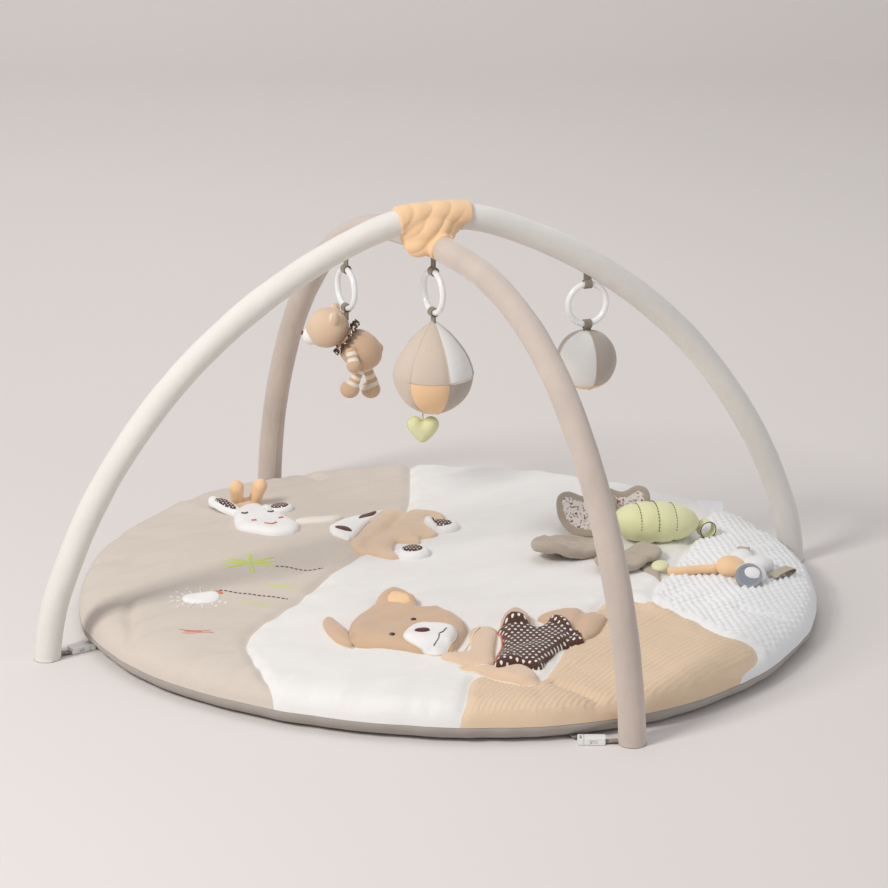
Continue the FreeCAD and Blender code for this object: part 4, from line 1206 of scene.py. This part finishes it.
def teardrop(steps=44):
    """Half outline of the ball, bottom to top: round below the waist, drawn to a point above."""
    heights, radii = [], []
    for t in np.linspace(-1, 1, steps):
        reach, swelling, taper = (0.0505, 2.1, 0.58) if t < 0 else (0.0662, 1.62, 0.86)
        share = math.sin(t * math.pi / 2)
        heights.append(reach * share)
        radii.append(0.0490 * (1 - abs(share) ** swelling) ** taper)
    return np.array(heights), np.maximum(np.array(radii), 0.0006)


WAIST = 0.3015
BALL_TURN = math.radians(-146.7)
ball_shape = teardrop()
ball_materials = ["ball_taupe", "white_velour", "ball_shade", "peach"]
UPPER = {0: 0, 1: 1, 2: 2, 3: 0, 4: 1, 5: 0}
LOWER = {0: 3, 1: 2, 2: 0, 3: 3, 4: 2, 5: 0}
gored_ball("music_ball_shell", (0, 0, WAIST), ball_shape, 6, 0.035, ball_materials, lambda gore,
    height: UPPER[gore] if height > 0 else LOWER[gore], "music_ball", "taupe_velvet", ("music_ball",),
    BALL_TURN)
gore_seams("music_ball_seams", (0, 0, WAIST), ball_shape, 6, 0.030, BALL_TURN, "music_ball",
    "taupe_velvet", "ball_taupe")
WAIST_RADIUS = 0.0487
waist_line = [(WAIST_RADIUS * math.cos(a), WAIST_RADIUS * math.sin(a), WAIST)
    for a in np.linspace(0, 2 * math.pi, 72, endpoint=False)]
finish_piece(tube_along("music_ball_waist", waist_line, 0.0006, "ball_taupe", sides=6, closed=True),
    "music_ball", "taupe_velvet")

SMALL = (0.201, 0, 0.2981)
SMALL_TURN = math.radians(-182.7)
angles = np.linspace(0, math.pi, 40)
SMALL_RADIUS = 0.0372
small_shape = (-SMALL_RADIUS * np.cos(angles), np.maximum(SMALL_RADIUS * np.sin(angles) ** 0.96, 0.0006))
SMALL_GORES = {0: 1, 1: 2, 2: 1, 3: 2}
gored_ball("small_ball_shell", SMALL, small_shape, 4, 0.03, ball_materials, lambda gore, height: 3
    if height < -0.0285 else SMALL_GORES[gore], "small_ball", "taupe_velvet", ("small_ball",),
    SMALL_TURN)
gore_seams("small_ball_seams", SMALL, small_shape, 4, 0.025, SMALL_TURN, "small_ball", "taupe_velvet",
    "ball_taupe")

# Heart on its pull cord.
HEART = np.array([-0.012, 0.0046])
HEART_TOP, HEART_TURN = 0.2465, math.radians(-21)
heart_outline = smooth_closed([(0, -0.0052), (0.0045, -0.0012), (0.0105, 0.0003), (0.0165, -0.0025),
    (0.0190, -0.0090), (0.0168, -0.0165), (0.0098, -0.0255), (0.0, -0.0325), (-0.0098, -0.0255),
    (-0.0168, -0.0165), (-0.0190, -0.0090), (-0.0165, -0.0025), (-0.0105, 0.0003), (-0.0045, -0.0012)],
    0.0015)
plan, triangles = fill_plan(heart_outline, 0.0016, rings=(0.0004, 0.0012))
gap = distance_to(plan, heart_outline)
half = 0.0095 * pillow(gap, 0.011)
c, s = math.cos(HEART_TURN), math.sin(HEART_TURN)
faces_front = []
for side in (1, -1):
    faces_front.append(np.column_stack([HEART[0] + plan[:, 0] * c + side * half * s,
        HEART[1] + plan[:, 0] * s - side * half * c, HEART_TOP + plan[:, 1]]))
heart_faces = sheet_faces(triangles, len(plan))
heart_toy = make_object("heart_pull", np.vstack(faces_front), heart_faces, "lime")
weld = heart_toy.modifiers.new("Weld", "WELD")
weld.merge_threshold = 0.00005
apply_modifiers(heart_toy)
puff(heart_toy, 0.0008)
finish_piece(heart_toy, "heart", "lime_velour", "heart", padding=0.8)
edge_line = [(HEART[0] + x * c, HEART[1] + x * s, HEART_TOP + z) for x, z in heart_outline]
finish_piece(tube_along("heart_seam", edge_line, 0.0005, "lime_thread", sides=5, closed=True), "heart",
    "lime_velour")
cord_path = [(HEART[0], HEART[1], z) for z in np.linspace(0.2865, 0.2425, 23)]
pull = tube_along("pull_cord_line", cord_path, 0.001, "cream", sides=10)
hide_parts("pull_cord")
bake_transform(pull)

# ---------------------------------------------------------------- hanging bear
BEAR_HEADING = math.radians(159)
HANG = np.array([-0.02645, 0.24156, 0.31772])
FORWARD = np.array([math.cos(BEAR_HEADING), math.sin(BEAR_HEADING), 0])
SIDE = np.array([-math.sin(BEAR_HEADING), math.cos(BEAR_HEADING), 0])


def on_bear(forward, down, side=0.0):
    return HANG + FORWARD * forward * MM + SIDE * side * MM - np.array([0, 0, down * MM])


def bear_form(name, place, radii, material, tilt=0.0):
    return ellipsoid(name, tuple(on_bear(*place)), tuple(r * MM for r in radii), material, BEAR_HEADING,
        math.radians(tilt))


head = [bear_form("h0", (24, 20), (28, 25.5, 25.5), "tan", 25),
    bear_form("h1", (14, 2, 21), (5.5, 5, 9.5), "tan"),
    bear_form("h2", (14, 2, -21), (5.5, 5, 9.5), "tan")]
head = melt("bear_toy_head_plush", head, 0.0018, "pale_plush", 5)
head.data.materials.clear()
head.data.materials.append(M["light_tan"])
puff(head, 0.0012)
finish_piece(head, "hanging_bear", "tan_plush", "bear_toy_head", padding=0.8)
muzzle = bear_form("bear_toy_muzzle", (44, 31), (12.5, 13, 11.5), "white_plush")
finish_piece(muzzle, "hanging_bear", "tan_plush", padding=0.8)
nose = bear_form("bear_toy_nose", (55.3, 27.5), (2.4, 4.2, 3), "brown_felt")
finish_piece(nose, "hanging_bear", "tan_plush")
for side in (-1, 1):
    eye = bear_form(f"bear_toy_eye_{side + 1}", (40.5, 13, side * 13.2), (2.1, 2.1, 2.1), "bead")
    finish_piece(eye, "hanging_bear", "tan_plush")
    lining = bear_form(f"bear_toy_ear_{side + 1}", (18.2, 1.4, side * 21.5), (2.4, 3.4, 6.6),
        "cream_plush")
    finish_piece(lining, "hanging_bear", "tan_plush", padding=0.5)
trunk = melt("bear_toy_body_plush", [bear_form("b0", (-17, 49), (30, 24.5, 24.5), "tan", -35),
    bear_form("b1", (-40, 47), (7, 7, 7), "tan")], 0.0018, "tan", 5)
puff(trunk, 0.0012)
finish_piece(trunk, "hanging_bear", "tan_plush", "bear_toy_body", padding=0.8)


def limb(name, start, end, radius, bands, material, foot=None):
    """Soft tube with a foot or hand, and cream bands round it."""
    path = np.array([np.array(start) + (np.array(end) - np.array(start)) * t
        for t in np.linspace(0, 1, 20)])
    radii = radius * MM * (1 + 0.05 * np.sin(np.linspace(0, 9, 20)))
    forms = [tube_along(name + "_t", path, radii, material, sides=20)]
    if foot:
        place, radii = foot
        forms.append(bear_form(name + "_f", place, radii, material))
    obj = melt(name, forms, 0.0012, material, 4)
    obj.data.materials.append(M["cream_plush"])
    run = np.array(end) - np.array(start)
    length = np.linalg.norm(run)
    for polygon in obj.data.polygons:
        along = float((np.array(polygon.center) - np.array(start)) @ run / length) / length
        polygon.material_index = 1 if any(low < along < high for low, high in bands) else 0
        polygon.use_smooth = True
    return finish_piece(obj, "hanging_bear", "tan_plush", padding=0.75)


for side, arm_drop in ((-1, 50), (1, 44)):
    shoulder = on_bear(-6, 42, side * 20)
    hand = (-14 + 4 * side, arm_drop + 18, side * 31)
    limb(f"bear_toy_arm_{side + 1}", shoulder, on_bear(*hand), 7.4, [(0.25, 0.45), (0.6, 0.8)], "tan",
        foot=(hand, (9.5, 8.5, 9)))
    hip = on_bear(-20, 64, side * 11)
    ankle_place = (-21 + 13 * side, 96 - 4 * side, side * 13)
    foot_place = (ankle_place[0] + 4, ankle_place[1] + 6, ankle_place[2])
    obj = limb(f"bear_toy_leg_{side + 1}", hip, on_bear(*ankle_place), 7.0,
        [(0.30, 0.44), (0.58, 0.72), (0.86, 1.0)], "tan", foot=(foot_place, (12.5, 10.5, 11.5)))
    if side == 1:
        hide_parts("bear_toy_limbs")
axis = on_bear(24, 20) - on_bear(-17, 49)
axis /= np.linalg.norm(axis)
first = np.cross(axis, [0, 0, 1.0])
first /= np.linalg.norm(first)
second = np.cross(axis, first)
frill_vertices, frill_faces = [], []
turns, rows = 360, 9
for i in range(turns):
    angle = 2 * math.pi * i / turns
    out = first * math.cos(angle) + second * math.sin(angle)
    wave = math.sin(angle * 22) * 0.0024 + math.sin(angle * 9 + 1) * 0.0008
    for k in range(rows):
        t = k / (rows - 1)
        reach = 0.0150 + 0.0105 * t
        frill_vertices.append(on_bear(0, 33) + out * reach + axis * (wave * t * 1.2))
for i in range(turns):
    for k in range(rows - 1):
        a, b = i * rows + k, (i + 1) % turns * rows + k
        frill_faces.append((a, b, b + 1, a + 1))
frill = make_object("bear_toy_frill", frill_vertices, frill_faces, "dotted")
thick = frill.modifiers.new("Thick", "SOLIDIFY")
thick.thickness = 0.0011
thick.offset = 0
apply_modifiers(frill)
finish_piece(frill, "hanging_bear", "brown_dotted_cotton", "bear_toy_scarf", padding=0.2)

# ---------------------------------------------------------------- bug toy
BUG = (0.302, 0.008, 0.072)
BUG_YAW, BUG_TILT = math.radians(-8), math.radians(4)
BUG_SEAMS = (-0.026, -0.004, 0.020)
bug = ellipsoid("bug_body_velour", BUG, (0.056, 0.031, 0.026), "lime", BUG_YAW, BUG_TILT, rings=40,
    segments=56)
points = points_of(bug)
axis_x = np.array([math.cos(BUG_YAW), math.sin(BUG_YAW), 0])
along = (points - np.array(BUG)) @ axis_x
squarer = np.where(along < 0, 1 + 0.10 * smooth_step(-along / 0.05), 1.0)
points[:, 1] = BUG[1] + (points[:, 1] - BUG[1]) * squarer
points[:, 2] = np.maximum(BUG[2] + (points[:, 2] - BUG[2]) * squarer, TOP + 0.0008)
for place in BUG_SEAMS:
    points += (np.array(BUG) - points) * (0.06 * np.exp(-((along - place) / 0.0028) ** 2))[:, None]
set_points(bug, points)
puff(bug, 0.0012)
finish_piece(bug, "root", "lime_velour", "bug_body", padding=0.8)
for number, place in enumerate(BUG_SEAMS):
    share = math.sqrt(1 - (place / 0.056) ** 2)
    dashes = []
    for k in range(22):
        a0 = -0.2 + k * 0.16
        arc = []
        for t in np.linspace(0, 0.08, 4):
            a = a0 + t
            wide = 1.04 if place < 0 else 1.0
            local = np.array([place, 0.0305 * share * math.cos(a) * 0.975 * wide,
                0.0256 * share * math.sin(a) * 0.985 * wide])
            turn = rotation_between(BUG_YAW, BUG_TILT)
            arc.append(np.array(turn @ Vector(local)) + np.array(BUG))
        if arc[0][2] > TOP + 0.002:
            dashes.append(tube_along(f"bug_dash_{number}_{k}", arc, 0.0006, "dark_thread", sides=5))
    finish_piece(joined(f"bug_stitches_{number}", dashes), "root", "lime_velour")
tail_centre = np.array([0.368, -0.001, 0.058])
tail_path = [tail_centre + 0.0105 * np.array([math.cos(a), 0, math.sin(a)])
    for a in np.linspace(math.radians(170), math.radians(-190), 40)]
finish_piece(strap("bug_tail_ribbon", tail_path, (0, 1, 0), 0.0135, 0.0016, "lime"), "root",
    "lime_velour", "bug_tail_loop")
tail_edges = [tube_along(f"tail_edge_{k}", [p + np.array([0, side * 0.0066, 0]) for p in tail_path],
    0.0007, "dark_thread", sides=5) for k, side in enumerate((-1, 1))]
finish_piece(joined("bug_tail_edges", tail_edges), "root", "lime_velour")


def wing(name, centre, radii, azimuth, tilt, outline, face_material, back_material, curl=0.0, seed=70,
         ruck=0.0022):
    """Flat stuffed wing from its own outline, in shares of its radii, set in place by azimuth and tilt."""
    rim = smooth_closed([(u * radii[0] * MM, v * radii[1] * MM) for u, v in outline], 0.002)
    plan, triangles = fill_plan(rim, 0.0026, rings=(0.0005, 0.0015))
    gap = distance_to(plan, rim)
    half = radii[2] * MM * pillow(gap, 0.007) * 0.75
    reach = np.hypot(plan[:, 0] / (radii[0] * MM), plan[:, 1] / (radii[1] * MM))
    flat = np.column_stack([plan, np.zeros(len(plan))])
    warp = curl * MM * reach ** 2 + (value_noise(flat, 0.024, seed) + 0.5 * value_noise(flat, 0.011,
        seed + 1)) * ruck
    turn = np.array(rotation_between(math.radians(azimuth), math.radians(tilt)))
    sides = []
    for side in (1, -1):
        local = np.column_stack([plan, warp + side * half])
        world = local @ turn.T + np.array(centre) * MM
        world[:, 2] = np.maximum(world[:, 2], mat_top(world) + (0.0022 if side > 0 else 0.0004))
        sides.append(world)
    count = len(plan)
    faces = sheet_faces(triangles, count, len(rim))
    obj = make_object(name, np.vstack(sides), faces, back_material)
    obj.data.materials.append(M[face_material])
    for polygon in obj.data.polygons:
        mine = list(polygon.vertices)
        if all(v < count for v in mine) and min(gap[v] for v in mine) > 0.0075:
            polygon.material_index = 1
    turn_outwards(obj)
    return finish_piece(obj, "root", "taupe_fabric", padding=0.5)


LEAF = [(-1, -0.5), (-0.3, -0.98), (0.7, -1.02), (1.0, -0.6), (0.72, 0.05), (0.96, 0.66), (0.66, 1.02),
    (-0.3, 0.92), (-1, 0.4)]
FLOP = [(-1.05, -0.3), (-0.6, -0.75), (0, -0.85), (0.7, -0.8), (1.05, -0.25), (1.0, 0.4), (0.5, 0.8),
    (-0.1, 0.9), (-0.7, 0.75), (-1.0, 0.35)]
wings = [wing("bug_wing_upper_left", (230, 64, 76), (29, 37, 5), 62, -56, LEAF, "sprig", "wing",
    curl=-4), wing("bug_wing_upper_middle", (284, 66, 76), (28, 33, 5), 75, -60, LEAF, "sprig", "wing",
    curl=-3, seed=72), wing("bug_wing_lower_left", (180, -6, 56), (52, 36, 9), 12, 8, FLOP, "wing",
    "wing", curl=6, seed=74, ruck=0.0055), wing("bug_wing_lower_middle", (232, -64, 53), (52, 34, 7),
    35, 5, FLOP, "wing", "wing", curl=4, seed=76, ruck=0.0045)]
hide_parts("bug_wings")
applique("bug_ribbon", [(251, -45), (276, -50), (262, -90), (250, -125), (245, -128), (239, -81)], 3,
    "wing", "taupe_fabric", edge=6)

# ---------------------------------------------------------------- flower toy
stem_path = smooth_open([(0.262, -0.118, 0.053), (0.280, -0.125, 0.054), (0.300, -0.127, 0.054),
    (0.320, -0.134, 0.055)], 0.003)
stem = tube_along("flower_stem", stem_path, 0.0054, "peach", sides=20)
puff(stem, 0.0006)
finish_piece(stem, "root", "peach_fabric", padding=0.7)
blossom = ellipsoid("flower_blossom", (0.336, -0.142, 0.058), (0.0185, 0.0185, 0.0125), "peach")
roughen(blossom, 0.012, 0.0012, 80)
finish_piece(blossom, "root", "peach_fabric", "flower_toy", padding=0.8)
for number, azimuth in enumerate((-70, -10, 45)):
    angle = math.radians(azimuth)
    place = (0.338 + 0.032 * math.cos(angle), -0.142 + 0.032 * math.sin(angle), 0.058)
    petal = ellipsoid(f"flower_petal_{number}", place, (0.0205, 0.0165, 0.0115), "white_plush", angle)
    points = points_of(petal)
    points[:, 2] = np.maximum(points[:, 2], 0.0462)
    set_points(petal, points)
    roughen(petal, 0.010, 0.0010, 82 + number)
    finish_piece(petal, "root", "peach_fabric", padding=0.7)
leaf = ellipsoid("flower_leaf", (0.262, -0.096, 0.053), (0.016, 0.011, 0.0055), "lime", math.radians(60))
finish_piece(leaf, "root", "peach_fabric", padding=0.6)
for number, ((x, y), azimuth,
             node) in enumerate((((392, -170), 20, "ribbon_tags"), ((374, -96), 60, None))):
    angle = math.radians(azimuth)
    run = np.array([math.cos(angle), math.sin(angle), 0])
    ground = land_at(x, y)
    base = np.array([x * MM, y * MM, ground])
    path = [base + run * u + np.array([0, 0, v])
        for u, v in ((-0.018, 0.0008), (-0.006, 0.0012), (0.008, 0.0016), (0.0165, 0.0040), (0.0165, 0.0080),
        (0.006, 0.0088), (-0.008, 0.0070), (-0.018, 0.0042))]
    path = smooth_open(path, 0.0012)
    across = np.array([-math.sin(angle), math.cos(angle), 0])
    vertices = [p + across * u * 0.0075 for p in path for u in (-1, -0.33, 0.33, 1)]
    faces = [(k * 4 + i, k * 4 + i + 1, k * 4 + i + 5, k * 4 + i + 4) for k in range(len(path) - 1)
        for i in range(3)]
    tag = make_object(f"ribbon_tag_{number}", vertices, faces, "ribbon")
    finish_piece(tag, "root", "ribbon", *([node] if node else []))

# ---------------------------------------------------------------- care label
label_turn = Matrix.Rotation(math.radians(-20), 3, "Z") @ Matrix.Rotation(math.radians(-50), 3, "X")
label_vertices = []
for v in np.linspace(0, 0.024, 9):
    for u in np.linspace(-0.017, 0.017, 9):
        local = Vector((u, 0.0006 + 0.0012 * math.sin(u * 160) * v / 0.024, v))
        label_vertices.append(np.array(label_turn @ local) + np.array([0.420, 0.096, 0.037]))
label_faces = [(k * 9 + i, k * 9 + i + 1, k * 9 + i + 10, k * 9 + i + 9) for k in range(8)
    for i in range(8)]
label = make_object("care_label_satin", label_vertices, label_faces, "satin")
finish_piece(label, "root", "white_satin", "care_label")

# ---------------------------------------------------------------- straps at the feet
for foot, azimuth, skew, body in (("left", 180.0, 14.0, "root"), ("right", 0.0, -62.0, "root"),
                                  ("front", math.degrees(CROSSING) - 180, 62.0, "taupe_arch"),
                                  ("back", math.degrees(CROSSING), -62.0, "taupe_arch")):
    turn = math.radians(azimuth)
    base = np.array([HALF_SPAN * math.cos(turn), HALF_SPAN * math.sin(turn), 0])
    heading = math.radians(azimuth + 180 + skew)
    run = np.array([math.cos(heading), math.sin(heading), 0])
    across = np.array([-math.sin(heading), math.cos(heading), 0])
    path = [base + run * u + np.array([0, 0, z])
        for u, z in ((0.0150, 0.0030), (0.0185, 0.0034), (0.0225, 0.0030), (0.0265, 0.0022), (0.0320, 0.0030))]
    piece = strap("foot_strap_" + foot, smooth_open(path, 0.0015), across, 0.0088, 0.0014, "webbing")
    node = "white_foot_straps" if body == "root" else "taupe_foot_straps"
    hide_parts(node)
    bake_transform(piece)

# ---------------------------------------------------------------- CAD pieces that stay as they are
FINISHES = {
    "webbing": ("mat_tabs",),
    "acetal": ("white_tongues", "taupe_tongues", "buckle_left", "buckle_right", "buckle_front",
               "buckle_back"),
    "glass_fibre": ("white_rods", "taupe_rods"),
    "steel": ("white_ferrule", "taupe_ferrule"),
    "dark_plastic": ("white_end_caps", "taupe_end_caps"),
    "pale_plastic": ("music_movement", "rattle"),
    "mirror": ("flower_mirror",),
    "silver": ("mirror_rim",),
}
for finish, finished in FINISHES.items():
    for node in finished:
        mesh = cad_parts[node].data
        mesh.materials.clear()
        mesh.materials.append(M[finish])


# ---------------------------------------------------------------- stage, light and camera
def stage_material():
    """Pale paper for the floor and the wall, its tone drifting a little at random."""
    tree = Tree("studio_paper")
    drift = tree.noise(0.8)
    tree.surface(tree.mix(drift, linear(223, 218, 215), linear(227, 221, 218)), Roughness=0.85,
        Specular_IOR_Level=0.2)
    return tree.material


M["paper"] = stage_material()
FLOOR_END, PAPER_BEND = 3.2, 1.2
profile = [(-6.0, 0.0), (FLOOR_END, 0.0)]
profile += [(FLOOR_END + PAPER_BEND * math.sin(a), PAPER_BEND - PAPER_BEND * math.cos(a))
    for a in np.linspace(0.08, math.pi / 2, 18)]
profile += [(4.4, 4.5)]
view_turn = math.radians(20.9)
wall_vertices = []
for depth, height in profile:
    for wide in (-7.0, 7.0):
        wall_vertices.append((wide * math.cos(view_turn) + depth * math.sin(view_turn),
            -wide * math.sin(view_turn) + depth * math.cos(view_turn), height))
wall_faces = [(2 * k, 2 * k + 1, 2 * k + 3, 2 * k + 2) for k in range(len(profile) - 1)]
backdrop = make_object("studio_paper", wall_vertices, wall_faces, "paper")

world = bpy.data.worlds.new("Studio")
bpy.context.scene.world = world
world.use_nodes = True
world.node_tree.nodes["Background"].inputs["Color"].default_value = (0.93, 0.95, 1.0, 1)
world.node_tree.nodes["Background"].inputs["Strength"].default_value = 0.40


def area_light(name, place, target, size, power, colour=(1, 1, 1)):
    lamp = bpy.data.lights.new(name, "AREA")
    lamp.shape = "RECTANGLE"
    lamp.size, lamp.size_y = size
    lamp.energy = power
    lamp.color = colour
    obj = bpy.data.objects.new(name, lamp)
    bpy.context.scene.collection.objects.link(obj)
    obj.location = place
    obj.rotation_euler = (Vector(target) - Vector(place)).to_track_quat("-Z", "Y").to_euler()


area_light("key", (-2.6, -1.0, 2.6), (0, 0, 0.1), (0.9, 0.9), 80, (1.0, 0.965, 0.93))
area_light("fill", (2.6, -2.6, 1.9), (0, 0, 0.2), (2.4, 2.4), 15, (0.96, 0.98, 1.0))
area_light("top", (0.2, 0.6, 3.2), (0, 0, 0), (2.6, 2.6), 20, (1.0, 0.98, 0.96))
area_light("wall", (-0.4, 2.2, 2.6), (1.2, 3.9, 0.9), (3.0, 1.6), 24, (1.0, 0.97, 0.94))

CAMERA_PLACE = (-1.4616, -3.8715, 1.5355)
CAMERA_AIM = (0.3392, 0.8901, -0.3047)
CAMERA_LENS = 144.8
camera_data = bpy.data.cameras.new("Camera")
camera = bpy.data.objects.new("Camera", camera_data)
bpy.context.scene.collection.objects.link(camera)
camera.location = CAMERA_PLACE
camera.rotation_euler = Vector(CAMERA_AIM).to_track_quat("-Z", "Y").to_euler()
camera_data.lens = CAMERA_LENS
camera_data.sensor_width = 36
bpy.context.scene.camera = camera
bpy.context.scene.view_settings.view_transform = "Standard"
